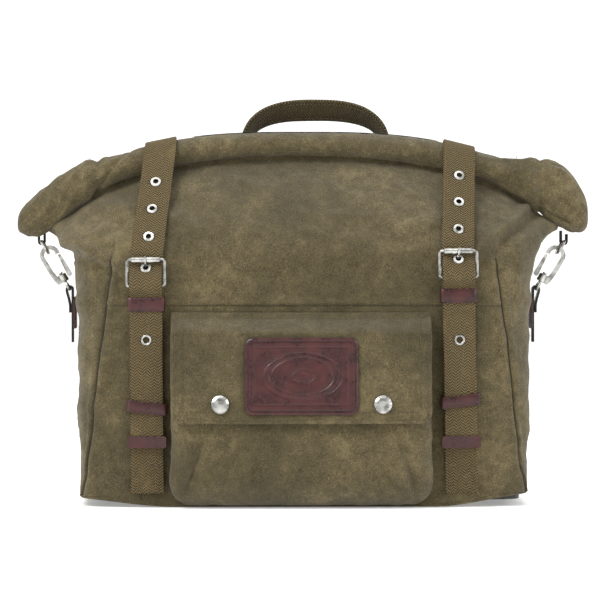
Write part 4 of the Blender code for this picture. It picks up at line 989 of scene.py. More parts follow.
    def plate(self, name: str, size: tuple[float, float], low: float, wall: float) -> bpy.types.Object:
        """A superellipse plate with a soft rim, drawn as rings that shrink to its middle, corners lifted."""
        turns = np.arange(160) * 2 * math.pi / 160
        power = 2 / self.base_squareness
        rim_x = size[0] / 2 * np.sign(np.cos(turns)) * np.abs(np.cos(turns)) ** power
        rim_y = size[1] / 2 * np.sign(np.sin(turns)) * np.abs(np.sin(turns)) ** power
        shrink = (0.0, 0.5, 0.7, 0.85, 0.97, 0.992)
        profile = [(s, 0.0) for s in shrink] + [(1.0, 0.5)] + [(s, 1.0) for s in reversed(shrink)]
        rings = np.stack([
            np.stack([rim_x * s, rim_y * s, np.full_like(rim_x, low + wall * z)], axis=-1) for s, z in profile
        ])
        plate = new_object(
            name, self.settle_corners(rings).reshape(-1, 3), lattice(len(profile), 160, wrap_columns=True))
        face_outward(plate, merge=1e-7)
        return plate

    def build_base(self) -> None:
        """The canvas base and the stiff board that lies on it, inside."""
        base = self.plate("canvas_base", (self.base_width, self.base_depth), 0.0, 0.003)
        settle(base, self.finishes.canvas, "bag", ["base_panel"])
        board = self.plate("bottom_board", (self.base_width - 0.034, self.base_depth - 0.020), 0.0036, 0.0016)
        settle(board, self.finishes.board, "bag", ["base_stiffener"])

    def shell_path(self, angles: Array, rises: Array) -> tuple[Array, Array]:
        """Points on the slack shell and the normals there, along a path of angles and rises."""
        eps = 1e-4
        plain = self.point(angles, rises)
        normals = unit(np.cross(
            self.point(angles + eps, rises) - self.point(angles - eps, rises),
            self.point(angles, rises + eps) - self.point(angles, rises - eps),
        ))
        outward = plain * np.array([1.0, 1.0, 0.0])
        normals = np.where(np.sum(normals * outward, axis=-1, keepdims=True) < 0, -normals, normals)
        return self.settle_corners(plain + self.slack(plain)[:, None] * normals), normals

    def build_seams(self, seam: float) -> None:
        """Dark cords sunk along the corner seams, painted shade that stands in for the shadow in each seam's
        fold; a row of stitches beside each corner seam, and twin rows beside the front's level seam.
        """
        sewing = Stitching()
        shade_cords = []
        for side in Side:
            for face in (-1.0, 1.0):
                rises = np.linspace(0.004, self.shoulder_share * 0.985, 150)
                half = self.section(rises)[3]
                angles = self.angle(half * side.value, rises, face)
                points, normals = self.shell_path(angles, rises)
                # Painted shade: a dark cord sunk into the corner seam stands in for the shadow in its fold.
                sunk = points - 0.0026 * normals
                shade_cords.append(rod(f"binding_{side.label}_{int(face)}", sunk, 0.0016, 8))
                for inset in (0.0045,):
                    line = self.angle((half - inset) * side.value, rises, face)
                    sewing.run(*self.shell_path(line, rises), lift=0.0003)
        for drop in (0.0030, 0.0085):
            rise = np.full(260, seam + drop * self.shoulder_share / self.shoulder)
            x = np.linspace(-0.176, 0.176, 260)
            points, normals = self.shell_path(self.angle(x, rise, -1.0), rise)
            for low, high in ((-0.176, -0.128), (0.122, 0.176)):
                keep = (x > low) & (x < high)
                sewing.run(points[keep], normals[keep], lift=0.0003)
        shade_cord = join("seam_binding", shade_cords)
        settle(shade_cord, self.finishes.shadow, "bag")
        sewing.build("canvas_stitching", self.finishes.thread, "bag")


def rod(name: str, points: Array, radius: float, sides: int) -> bpy.types.Object:
    """A round cord through points: a circle carried along a path, with closed ends.

    Args:
        name: The piece's name.
        points: The path.
        radius: Radius of the cord.
        sides: Points on the circle.

    Returns:
        The cord as an object.
    """
    tangent = unit(np.gradient(points, axis=0))
    guide = np.array([0.0, 0.0, 1.0]) if np.abs(tangent[:, 2]).mean() < 0.7 else np.array([0.0, 1.0, 0.0])
    side = unit(np.cross(tangent, guide))
    up = np.cross(side, tangent)
    turns = np.arange(sides) * 2 * math.pi / sides
    rings = points[:, None] + radius * (
        np.cos(turns)[None, :, None] * side[:, None] + np.sin(turns)[None, :, None] * up[:, None]
    )
    return swept(name, rings)


# ---------------------------------------------------------------- rolled collar

@dataclass
class RolledCollar:
    """The bag's mouth, rolled down forwards: two turns of canvas, flat in the middle and full at the ears.

    The section is an oval whose radius steps down where the free edge lies on the turn below it.
    """

    body: CanvasBody
    half_depth: float = 0.0165
    forward: float = 0.006
    end_round: float = 0.016
    lip_angle: float = 232.0  # degrees from +Y towards +Z, where the free edge lies
    lip_step: float = 0.0034
    ear_shift: tuple[float, float] = (-0.009, 0.005)
    ear_grow: tuple[float, float] = (-0.002, 0.005)
    ear_taper: tuple[float, float] = (0.42, 0.24)
    ear_at: float = 0.245
    ear_reach: float = 0.030

    def ear(self, x: Array, pair: tuple[float, float]) -> Array:
        """A left and a right value that swell round each ear's middle by a bell."""
        return np.where(x < 0, pair[0], pair[1]) * bump(np.abs(x), self.ear_at, self.ear_reach)

    def centre(self, x: Array) -> Array:
        """Height of the roll's middle, with each ear's own droop."""
        return self.body.roll_centre(x) + self.ear(x, self.ear_shift)

    def half(self, x: Array) -> Array:
        """Half the roll's height: the frame's, fuller in the middle, less a taper to each slanted end."""
        taper = np.where(x < 0, *self.ear_taper) * ease(np.abs(x), (0.243, 0.272), (0.0, 1.0))
        full = self.body.roll_half(x) + self.ear(x, self.ear_grow) + 0.0012
        return full * (1.0 - taper)

    def build(self) -> None:
        """Makes the roll, the hem on its free edge and the spiral seen at each end."""
        half = self.body.roll_length / 2 - 0.0006
        turns = np.arange(96) * 2 * math.pi / 96
        stations = np.concatenate([
            -half + self.end_round * (1 - np.cos(np.linspace(0.12, math.pi / 2, 12))),
            np.linspace(-half + self.end_round, half - self.end_round, 240)[1:-1],
            half - self.end_round * (1 - np.cos(np.linspace(math.pi / 2, 0.12, 12))),
        ])
        past = np.clip((np.abs(stations) - half + self.end_round) / self.end_round, 0.0, 1.0)
        share = np.maximum((1.0 - past**3) ** (1 / 3), 0.10)[:, None]
        x = np.broadcast_to(stations[:, None], (len(stations), len(turns)))
        angle = np.broadcast_to(turns[None, :], x.shape)
        lip = math.radians(self.lip_angle) + 0.10 * np.sin(x * 21.0) + 0.05 * np.sin(x * 67.0 + 1.0)
        past_lip = np.mod(angle - lip, 2 * math.pi) / (2 * math.pi)
        spiral = -self.lip_step * ease(past_lip, (0.0, 0.012, 0.6, 1.0), (1.0, 0.72, 0.28, 0.0))
        around = angle * self.half_depth
        crease = 0.0010 * Crumple(31, 0.070, 9, 12.0, 22.0).at(x, around * 1.2)
        crease += 0.0007 * Crumple(37, 0.030, 10, 40.0, 60.0).at(x, around)
        ear = ease(np.abs(x), (0.150, 0.215), (0.0, 1.0))
        crease += ear * 0.0022 * Crumple(41, 0.055, 8, 62.0, 24.0).at(x, around * 1.4)
        crease += 0.0022 * bump(x, -0.204, 0.0055) - 0.0030 * bump(x, -0.194, 0.0030)
        crease += 0.0020 * bump(x, 0.214, 0.0055) - 0.0026 * bump(x, 0.224, 0.0030)
        crease -= 0.0026 * bump(x + 0.6 * (angle - 1.6) * 0.02, -0.163, 0.004)
        calm = 1.0 - 0.8 * (bump(x, -0.134, 0.018) + bump(x, 0.147, 0.018))
        out = spiral + crease * calm
        pinch = 1.0 - 0.05 * (bump(x, -0.134, 0.014) + bump(x, 0.147, 0.014))
        y = -self.forward + (self.half_depth * pinch + out) * share * np.cos(angle)
        z = self.centre(x) + (self.half(x) * pinch + out) * share * np.sin(angle)
        uv = np.stack([x, around], axis=-1)
        roll = swept("canvas_rolled_collar", np.stack([x, y, z], axis=-1), uv=uv)
        settle(roll, self.body.finishes.canvas, "bag", ["rolled_collar"])
        self.build_stitches()

    def surface(self, x: Array, turn: Array, lift: float) -> tuple[Array, Array]:
        """Points and normals a little above the roll's oval, at x and at an angle in its section."""
        y = -self.forward + (self.half_depth + lift) * np.cos(turn)
        z = self.centre(x) + (self.half(x) + lift) * np.sin(turn)
        normal = unit(np.stack([np.zeros_like(x), np.cos(turn), np.sin(turn)], axis=-1))
        return np.stack([x, y, z], axis=-1), normal

    def build_stitches(self) -> None:
        """A hem's row of stitches beside the free edge, and a short seam across each ear."""
        sewing = Stitching()
        x = np.linspace(-0.205, 0.205, 400)
        turn = math.radians(self.lip_angle) - 0.42 + 0.10 * np.sin(x * 21.0)
        sewing.run(*self.surface(x, turn, 0.0004))
        for side in Side:
            turn = np.radians(np.linspace(100.0, 225.0, 60))
            x = side.value * (0.196 + 0.006 * np.sin(turn))
            sewing.run(*self.surface(x, turn, 0.0012))
        sewing.build("collar_stitching", self.body.finishes.thread, "bag")


# ---------------------------------------------------------------- front pocket

@dataclass
class FrontPocket:
    """The bellows pocket and its flap, with the leather patch and stitching on it."""

    body: CanvasBody
    centre: float = -0.0035
    width: float = 0.242
    bottom: float = 0.0015
    top: float = 0.160
    depth_top: float = 0.014
    depth: float = 0.030
    wall: float = 0.002
    side_taper: float = -0.001
    flap_width: float = 0.238
    flap_top: float = 0.179
    flap_bottom: float = 0.080
    flap_wall: float = 0.0024
    flap_stand: float = 0.0072
    hinge_stand: float = 0.0022
    patch_width: float = 0.104
    patch_height: float = 0.070
    patch_level: float = 0.122
    patch_corner: float = 0.008
    patch_wall: float = 0.0018
    oval: tuple[float, float] = (0.036, 0.021)

    def back(self, x: Array, z: Array) -> Array:
        """Depth coordinate of the front panel that the pocket is sewn to."""
        foot = self.body.base_thickness + GAP
        rise = self.body.shoulder_share * (z - foot) / (self.body.shoulder - foot)
        return self.body.front_y(x, rise) - 2 * GAP - self.wall

    def stand(self, z: Array) -> Array:
        """How far the pouch stands off: a round belly at its foot, then a taper to its mouth."""
        share = np.clip((z - self.bottom) / (self.top - self.bottom), 0.0, 1.0)
        belly = (1.0 - (1.0 - np.clip(share / 0.35, 0.0, 1.0)) ** 2.4) ** (1 / 2.4)
        return belly * ease(share, (0.0, 0.30, 1.0), (self.depth, self.depth, self.depth_top))

    def pouch(self, across: Array, z: Array) -> Array:
        """The pouch's outer face at an angle from its right seam, 0, to its left seam, pi."""
        low = np.clip(1.0 - (z - self.bottom) / 0.026, 0.0, 1.0)
        half = self.width / 2 - self.side_taper * ease(z, (0.010, 0.085), (1.0, 0.0)) - 0.013 * low**2
        x = self.centre + half * np.sign(np.cos(across)) * np.abs(np.cos(across)) ** 0.4
        y = self.back(x, z) - self.stand(z) * np.abs(np.sin(across)) ** 0.4
        return np.stack([x, y, z], axis=-1)

    def flap(self, across: Array, z: Array) -> Array:
        """The flap's outer face: from the hinge it bends over the mouth and hangs down the front."""
        x = self.centre + self.flap_width / 2 * across
        level = np.minimum(z, self.top)
        behind = self.back(np.full_like(x, self.centre), level)
        face = behind - self.stand(np.maximum(level, self.flap_bottom))
        face = face - self.flap_stand + 0.004 * np.abs(across) ** 5
        share = ease((self.flap_top - z) / (self.flap_top - self.top - 2 * GAP), (0.0, 1.0), (0.0, 1.0))
        top_rise = np.full(1, self.body.rise_at(self.flap_top))
        hinge = self.body.front_y(np.zeros(1), top_rise)[0] - self.hinge_stand
        return np.stack([x, (hinge - self.flap_wall / 2) * (1.0 - share) + face * share, z], axis=-1)

    def build(self) -> None:
        """Makes pouch, flap, patch and stitches."""
        self.build_pouch()
        self.build_flap()
        self.build_patch()

    def build_pouch(self) -> None:
        """The pouch: corner pleats as grooves, sag folds near its foot, and a turned hem at its mouth."""
        edge = 0.10
        across = -np.linspace(edge, math.pi - edge, 190)[None, :]
        share = np.linspace(0.0, 1.0, 110)[:, None] ** 1.15
        z = self.bottom + (self.top - self.bottom) * (0.004 + 0.996 * share)
        angles, levels = np.broadcast_arrays(across, z)
        plain = self.pouch(angles, levels)
        normals = grid_normals(plain)
        if normals[60, 95, 1] > 0:
            normals = -normals
        x, height = plain[..., 0] - self.centre, plain[..., 2]
        low = ease(height, (0.010, 0.045, 0.085, 0.115), (0.35, 1.0, 0.8, 0.2))
        out = 0.0026 * Crumple(51, 0.095, 9, 20.0, 60.0).at(x, height) * low
        out += 0.0007 * Crumple(53, 0.030, 10, 60.0, 60.0).at(x, height) * low
        for x0, lean, deep in (
            (-0.096, 0.34, 0.0036), (0.097, -0.30, 0.0034), (-0.060, 0.5, 0.0014), (0.071, -0.6, 0.0016),
        ):
            away = x - x0 - lean * (height - 0.045)
            out -= deep * bump(away, 0.0, 0.0035) * bump(height, 0.040, 0.036)
            out += 0.55 * deep * bump(away, 0.0085 * np.sign(x0), 0.006) * bump(height, 0.042, 0.036)
        out += 0.0012 * bump(height, 0.026, 0.010) * ease(np.abs(x), (0.04, 0.11), (1.0, 0.1))
        moved = plain + np.minimum(out, 0.0021)[..., None] * normals
        settle(cloth_sheet("canvas_front_pocket", moved, self.wall, (0, -1, 0)),
               self.body.finishes.canvas, "bag", ["front_pocket"])

    def flap_lift(self, across: Array, z: Array) -> Array:
        """How far the flap's cloth moves out: shallow creases, and a hem ridge round three edges."""
        x = self.flap_width / 2 * across
        edge = np.minimum(self.flap_width / 2 - np.abs(x), z - self.flap_bottom)
        hem = 0.0004 * ease(edge, (0.0, 0.0015, 0.0095, 0.0115), (0.5, 1.0, 1.0, 0.0))
        crease = 0.0011 * Crumple(61, 0.120, 8, 70.0, 40.0).at(x, z)
        crease += 0.0005 * Crumple(67, 0.040, 9, 30.0, 70.0).at(x, z)
        away = bump(x, 0.0, 0.060) * bump(z, self.patch_level, 0.040)
        snaps = bump(np.abs(x), 0.0745, 0.013) * bump(z, 0.0965, 0.013)
        crease = crease * (1.0 - 0.85 * away) * (1.0 - snaps)
        return hem + crease * ease(z, (0.155, 0.179), (1.0, 0.2)) - 0.0004 * snaps

    def flap_path(self, across: Array, z: Array) -> tuple[Array, Array]:
        """Points on the flap's creased face and its normals, along a path."""
        eps = 1e-4
        points = self.flap(across, z)
        normals = unit(np.cross(
            self.flap(across + eps, z) - self.flap(across - eps, z),
            self.flap(across, z + eps) - self.flap(across, z - eps),
        ))
        normals = np.where(normals[:, 1:2] > 0, -normals, normals)
        return points + self.flap_lift(across, z)[:, None] * normals, normals

    def build_flap(self) -> None:
        """The flap and its hem's stitches."""
        across = np.linspace(-1.0, 1.0, 150)[None, :]
        z = np.linspace(self.flap_bottom, self.flap_top, 90)[:, None]
        wide, tall = np.broadcast_arrays(across, z)
        corner = 0.010
        past = np.clip(corner - (tall - self.flap_bottom), 0.0, corner)
        half = self.flap_width / 2 - corner + np.sqrt(corner**2 - past**2)
        plain = self.flap(wide * half / (self.flap_width / 2), tall)
        normals = grid_normals(plain)
        if normals[45, 75, 1] > 0:
            normals = -normals
        moved = plain + self.flap_lift(wide, tall)[..., None] * normals
        sheet = cloth_sheet("canvas_pocket_flap", moved, self.flap_wall, (0, -1, 0))
        settle(sheet, self.body.finishes.canvas, "flap", ["pocket_flap"])
        sewing = Stitching()
        for inset in (0.0028, 0.0098):
            half = 1.0 - inset / (self.flap_width / 2)
            foot = self.flap_bottom + inset
            down = np.linspace(self.flap_top - 0.006, foot, 120)
            level = np.linspace(-half, half, 240)
            sewing.run(*self.flap_path(np.full_like(down, -half), down), lift=0.0002)
            sewing.run(*self.flap_path(level, np.full_like(level, foot)), lift=0.0002)
            sewing.run(*self.flap_path(np.full_like(down, half), down), lift=0.0002)
        level = np.linspace(-0.97, 0.97, 240)
        sewing.run(*self.flap_path(level, np.full_like(level, self.flap_top - 0.004)), lift=0.0002)
        sewing.build("flap_stitching", self.body.finishes.thread, "flap")

    def ovals(self, x: Array, dz: Array) -> Array:
        """Depth of two plain oval rings and a small one: the bell of the oval radius away from each ring."""
        radius = np.hypot(x / self.oval[0], dz / self.oval[1])
        return 0.00055 * (bump(radius, 1.0, 0.045) + bump(radius, 0.80, 0.03) + bump(radius, 0.28, 0.05))

    def build_patch(self) -> None:
        """The glossy patch: a pressed double border, and pressed oval rings in its field.

        Its outline is a rectangle with round corners. The face drops where border lines run, by the bell
        exp(-d^2 / w^2) of the distance to them, and it domes a little between them.
        """
        rows, columns = 150, 210
        v = np.linspace(-1.0, 1.0, rows)[:, None]
        u = np.linspace(-1.0, 1.0, columns)[None, :]
        v = np.sign(v) * (1 - (1 - np.abs(v)) ** 1.2)
        tall, corner = self.patch_height / 2, self.patch_corner
        past = np.clip(np.abs(v * tall) - (tall - corner), 0.0, corner)
        half = self.patch_width / 2 - corner + np.sqrt(corner**2 - past**2)
        x, dz = np.broadcast_arrays(u * half, v * tall)
        edge_x = self.patch_width / 2 - np.abs(x)
        edge_z = tall - np.abs(dz)
        near = np.minimum(edge_x, edge_z)
        both = np.hypot(np.clip(corner - edge_x, 0, None), np.clip(corner - edge_z, 0, None))
        inside = np.where((edge_x < corner) & (edge_z < corner), corner - both, near)
        press = 0.00045 * bump(inside, 0.0032, 0.0011) + 0.00040 * bump(inside, 0.0088, 0.0008)
        field_share = ease(inside, (0.0105, 0.0125), (0.0, 1.0))
        press = press + field_share * self.ovals(x, dz)
        rim = 0.0007 * np.exp(-((inside / 0.0010) ** 2))
        across, z = x / (self.flap_width / 2), self.patch_level + dz
        plain = self.flap(across, z)
        normals = grid_normals(plain)
        if normals[rows // 2, columns // 2, 1] > 0:
            normals = -normals
        swell = 0.0002 * bump(x, 0.0, 0.04) * bump(dz, 0.0, 0.03)
        face = plain + (self.patch_wall + 0.0011 - press - rim + swell)[..., None] * normals
        patch = cloth_sheet("leather_patch_face", face, self.patch_wall, (0, -1, 0), 0.6)
        settle(patch, self.body.finishes.leather, "flap", ["leather_patch"])
        inset = 0.0032
        turns = np.radians(np.linspace(0, 90, 14))
        loop = []
        for sx, sz, start in ((1, 1, 0), (-1, 1, 1), (-1, -1, 2), (1, -1, 3)):
            angle = turns + start * math.pi / 2
            radius = corner - inset
            loop.append(np.stack([
                sx * (self.patch_width / 2 - corner) + radius * np.cos(angle),
                sz * (tall - corner) + radius * np.sin(angle),
            ], axis=-1))
        path = np.concatenate([*loop, loop[0][:1]])
        lengths = np.concatenate([[0.0], np.cumsum(np.linalg.norm(np.diff(path, axis=0), axis=1))])
        even = np.linspace(0.0, lengths[-1], 500)
        x, dz = np.interp(even, lengths, path[:, 0]), np.interp(even, lengths, path[:, 1])
        points, normals = self.flap_path(x / (self.flap_width / 2), self.patch_level + dz)
        points = self.flap(x / (self.flap_width / 2), self.patch_level + dz)
        sewing = Stitching(3.0 * MM, 2.3 * MM, 0.42 * MM)
        sewing.run(points, normals, lift=self.patch_wall + 0.0008)
        sewing.build("patch_stitching", self.body.finishes.dark_thread, "flap")


# ---------------------------------------------------------------- webbing

def band(name: str, centres: Array, across: Array, width: float, thickness: float) -> bpy.types.Object:
    """A woven strap: a superellipse section, x = a cos^(1/6), n = b sin^(1/2), carried along a path.

    Its selvedges swell a little, and its width varies by a slow sine, as woven tape does.

    Args:
        name: The piece's name.
        centres: The middle line.
        across: Unit vectors across the strap, one a point.
        width: Width in metres.
        thickness: Thickness in metres.

    Returns:
        The strap, with a uv map in metres across and along it.
    """
    steps = np.linalg.norm(np.diff(centres, axis=0), axis=1)
    lengths = np.concatenate([[0.0], np.cumsum(steps)])
    even = np.linspace(0.0, lengths[-1], max(int(lengths[-1] / (1.6 * MM)), 16))
    path = np.stack([np.interp(even, lengths, centres[:, k]) for k in range(3)], axis=-1)
    side = unit(np.stack([np.interp(even, lengths, across[:, k]) for k in range(3)], axis=-1))
    tangent = unit(np.gradient(path, axis=0))
    side = unit(side - np.sum(side * tangent, axis=1, keepdims=True) * tangent)
    normal = np.cross(side, tangent)
    turns = np.arange(28) * 2 * math.pi / 28
    a = np.sign(np.cos(turns)) * np.abs(np.cos(turns)) ** (1 / 6)
    b = np.sign(np.sin(turns)) * np.abs(np.sin(turns)) ** 0.5
    selvedge = 1.0 + 0.10 * bump(np.abs(a), 0.93, 0.05)
    waver = 1.0 + 0.006 * np.sin(even * 2 * math.pi / 0.047)
    offset_a = a[None, :] * width / 2 * waver[:, None]
    offset_b = np.broadcast_to((b * selvedge)[None, :] * thickness / 2, offset_a.shape)
    rings = path[:, None] + offset_a[..., None] * side[:, None] + offset_b[..., None] * normal[:, None]
    uv = np.stack([offset_a + width / 2, np.broadcast_to(even[:, None], offset_a.shape)], axis=-1)
    return swept(name, rings, uv=uv)


def cut_holes(obj: bpy.types.Object, frames: Sequence[Matrix], radius: float) -> None:
    """Cuts round holes through a strap with one exact Boolean, and puts the result in its mesh.

    Args:
        obj: The strap.
        frames: Places of the holes, whose Y runs through the strap.
        radius: Radius of each hole.
    """
    turns = np.arange(24) * 2 * math.pi / 24
    drills = []
    for number, place in enumerate(frames):
        circle = np.stack([radius * np.cos(turns), np.zeros_like(turns), radius * np.sin(turns)], axis=-1)
        rings = np.stack([circle + np.array([0.0, y, 0.0]) for y in (-0.0032, 0.0032)])
        turned = np.einsum("ij,abj->abi", np.array(place.to_3x3()), rings) + np.array(place.translation)
        drills.append(swept(f"drill_{number}", turned))
    cutter = join("drills", drills)
    modifier = obj.modifiers.new("holes", "BOOLEAN")
    modifier.operation = "DIFFERENCE"
    modifier.solver = "EXACT"
    modifier.object = cutter
    apply_modifiers(obj)
    bpy.data.objects.remove(cutter, do_unlink=True)


def turned(
    name: str, profile: Sequence[tuple[float, float]], place: Matrix, steps: int = 48
) -> bpy.types.Object:
    """A closed (radius, depth) profile turned about the Y axis of a place."""
    spots = np.asarray(profile)
    turns = np.arange(steps) * 2 * math.pi / steps
    rings = np.stack([
        spots[None, :, 0] * np.cos(turns)[:, None],
        np.broadcast_to(spots[None, :, 1], (steps, len(spots))),
        spots[None, :, 0] * np.sin(turns)[:, None],
    ], axis=-1)
    moved = np.einsum("ij,abj->abi", np.array(place.to_3x3()), rings) + np.array(place.translation)
    quads = lattice(steps, len(spots), wrap_rows=True, wrap_columns=True)
    obj = new_object(name, moved.reshape(-1, 3), quads)
    face_outward(obj, merge=1e-7)
    return obj


class Line:
    """A strap's base line: its points, lengths from the foot, and unit vectors across and out of it."""

    def __init__(self, points: Array, across: Array) -> None:
        """Works out the lengths and the directions from the points."""
        self.points = points
        steps = np.linalg.norm(np.diff(points, axis=0), axis=1)
        self.lengths = np.concatenate([[0.0], np.cumsum(steps)])
        tangents = unit(np.gradient(points, axis=0))
        self.across = unit(across - np.sum(across * tangents, axis=1, keepdims=True) * tangents)
        self.normals = np.cross(self.across, tangents)

    def length_at(self, height: float) -> float:
        """Length from the foot to a height on the way up."""
        top = int(np.argmax(self.points[:, 2]))
        return float(np.interp(height, self.points[:top, 2], self.lengths[:top]))

    def sample(self, rows: Array, length: Array) -> Array:
        """Rows read at lengths along the line."""
        return np.stack([np.interp(length, self.lengths, rows[:, i]) for i in range(3)], axis=-1)

    def raised(self, length: Array, standoff: Array) -> Array:
        """Points at lengths, moved out by a standoff."""
        return self.sample(self.points, length) + np.asarray(standoff)[..., None] * self.out(length)

    def out(self, length: Array) -> Array:
        """Unit vectors out of the bag at lengths."""
        return unit(self.sample(self.normals, length))

    def place(self, length: float, standoff: float) -> Matrix:
        """A place at a length: X across, Y into the bag, Z up the strap."""
        origin = self.raised(np.array([length]), np.array([standoff]))[0]
        out = self.out(np.array([length]))[0]
        across = unit(self.sample(self.across, np.array([length])))[0]
        up = np.cross(across, -out)
        matrix = Matrix((np.cross(-out, up), -out, up)).transposed().to_4x4()
        matrix.translation = Vector(origin)
        return matrix


@dataclass
class ClosingStrap:
    """One side's two front straps: the long one over the roll, and the one that holds the buckle.

    The base line is the tightest line, a convex hull in side view, over the front, the roll and the back.
    """

    body: CanvasBody
    side: Side
    width: float = 0.030
    thickness: float = 0.002
    foot: float = 0.013
    foot_x: float = 0.145
    leather: float = 0.0012
    clearance: float = 0.0016
    back_rise: float = 0.90
    fold: float = 0.028
    tail: float = 0.0575
    tail_cap: float = 0.011
    tail_lift: float = 0.0018
    pitch: float = 0.031
    drop: float = 0.008
    buckle_length: float = 0.024
    buckle_stand: float = 0.0072
    wire: float = 0.0015
    roller: float = 0.0028
    low_eyelet: float = 0.1545

    def __post_init__(self) -> None:
        """Sets what differs between the sides, and lays the base line."""
        left = self.side is Side.LEFT
        self.buckle_x = 0.146 if left else 0.141
        self.roll_x = 0.134 if left else 0.147
        self.buckle_height = 0.228 if left else 0.236
        self.lower_stand = self.leather + GAP + self.thickness / 2
        self.layer = self.thickness + GAP
        self.loop = self.wire + GAP + self.thickness / 2
        middle = self.smooth(self.taut(0.0))
        reach = 0.003
        across = self.smooth(self.taut(reach)) - self.smooth(self.taut(-reach))
        self.line = Line(middle, unit(across))
        self.heel = self.line.length_at(self.buckle_height) - self.buckle_length

    def x_at(self, height: Array) -> Array:
        """The strap's middle leans a little between its foot, its buckle and the roll."""
        places = (self.foot, self.buckle_height, self.body.roll_height)
        return self.side.value * np.interp(height, places, (self.foot_x, self.buckle_x, self.roll_x))

    def smooth(self, points: Array) -> Array:
        """Small corners evened out three times by quarter, half, quarter."""
        points = points.copy()
        for _ in range(3):
            points[1:-1] = 0.25 * points[:-2] + 0.5 * points[1:-1] + 0.25 * points[2:]
        return points

    def taut(self, shift: float) -> Array:
        """The tightest line at a shift to one side of the strap's middle."""
        body = self.body
        rises = np.linspace(float(body.rise_at(self.foot)), 1.0, 70)
        x = self.x_at(body.height(self.x_at(body.shoulder), rises)) + shift
        front = np.stack([body.front_y(x, rises) - GAP, body.height(x, rises)], axis=-1)
        behind_rises = np.linspace(self.back_rise, 1.0, 6)
        behind_x = self.x_at(body.roll_height) + shift
        behind = np.stack([
            -body.front_y(behind_x, behind_rises) + self.clearance, body.height(behind_x, behind_rises),
        ], axis=-1)
        turns = np.radians(np.arange(0, 360, 10))
        roll = np.stack([
            -0.006 + (0.017 + self.clearance) * np.cos(turns),
            body.roll_centre(behind_x) + (body.roll_half(behind_x) + self.clearance) * np.sin(turns),
        ], axis=-1)
        spots = np.concatenate([front, behind, roll])
        hull = convex_hull_2d([tuple(map(float, spot)) for spot in spots])
        first = hull.index(0)
        order = [hull[(first + i) % len(hull)] for i in range(len(hull))]
        if order[1] == len(front):
            order = [order[0]] + order[:0:-1]
        line = spots[order[:order.index(len(front)) + 1]]
        lengths = np.concatenate([[0.0], np.cumsum(np.linalg.norm(np.diff(line, axis=0), axis=1))])
        even = np.linspace(0.0, lengths[-1], 121)
        y, z = np.interp(even, lengths, line[:, 0]), np.interp(even, lengths, line[:, 1])
        return np.stack([self.x_at(z) + shift, y, z], axis=-1)

    def top_stand(self, length: Array) -> Array:
        """Standoff of the long strap: on the lower one, over the heel bar, behind the roller, on canvas."""
        roller = self.heel + self.buckle_length
        tail = self.tail - self.foot
        low, layer = self.lower_stand, self.layer
        places = (
            tail + self.tail_cap, tail + 0.028, self.heel - self.fold - 0.008, self.heel - self.fold,
            self.heel - 0.0095, self.heel - 0.001, self.heel + 0.002, roller, roller + 0.030, roller + 0.080,
        )
        over = self.buckle_stand + self.loop + layer
        values = (
            low + layer + self.tail_lift, low + layer, low + layer, low + 2 * layer, low + 2 * layer,
            over, over,
            self.buckle_stand - self.roller - GAP - self.thickness / 2, low, self.thickness / 2,
        )
        return ease(length, places, values)

    def build(self) -> None:
        """Makes both straps, the visible eyelet below the buckle, and the foot's stitches."""
        self.build_lower()
        self.build_top()
        self.build_leather()

    def loop_of_leather(self, name: str, place: Matrix, inner: float, low: float, high: float, height: float,
                        tilt: float) -> tuple[bpy.types.Object, Array]:
        """A leather keeper: a rounded rectangle round the straps, drawn down its height with soft edges.

        Args:
            name: The piece's name.
            place: The strap's base line place at the keeper's middle.
            inner: Clear width.
            low: Inside face nearest the bag, over the base line.
            high: Inside face farthest from the bag.
            height: Height of the leather strip.
            tilt: Degrees that it leans in the strap's plane.

        Returns:
            The keeper and its outer front edge line, as points at half height.
        """
        turns = np.arange(72) * 2 * math.pi / 72
        half_x, half_y = inner / 2 + self.leather / 2, (high - low + self.leather) / 2
        x = half_x * np.sign(np.cos(turns)) * np.abs(np.cos(turns)) ** 0.16
        y = half_y * np.sign(np.sin(turns)) * np.abs(np.sin(turns)) ** 0.42
        out_x, out_y = np.cos(turns), np.sin(turns)
        wall, edge = self.leather / 2 + 0.0002, height / 2
        profile = [
            (wall, -edge + 0.0005), (wall, 0.0), (wall, edge - 0.0005), (wall * 0.5, edge),
            (-wall * 0.5, edge), (-wall, edge - 0.0005), (-wall, 0.0), (-wall, -edge + 0.0005),
            (-wall * 0.5, -edge), (wall * 0.5, -edge),
        ]
        lean = math.tan(math.radians(tilt))
        sag = 0.0005 * np.cos(x / half_x * math.pi / 2)
        rings = np.stack([
            np.stack([x + w * out_x, y + w * out_y - (low + high) / 2, h - sag + lean * x], axis=-1)
            for w, h in profile
        ], axis=1)
        turn, shift = np.array(place.to_3x3()), np.array(place.translation)
        keeper = swept(name, rings @ turn.T + shift, closed_path=True)
        seen = np.linspace(-half_x * 0.86, half_x * 0.86, 40)
        front = -(low + high) / 2 - half_y - wall
        lines = [
            np.stack([seen, np.full_like(seen, front), h - 0.0003 + lean * seen], axis=-1) @ turn.T + shift
            for h in (-edge + 0.0016, edge - 0.0016)
        ]
        return keeper, np.stack(lines)

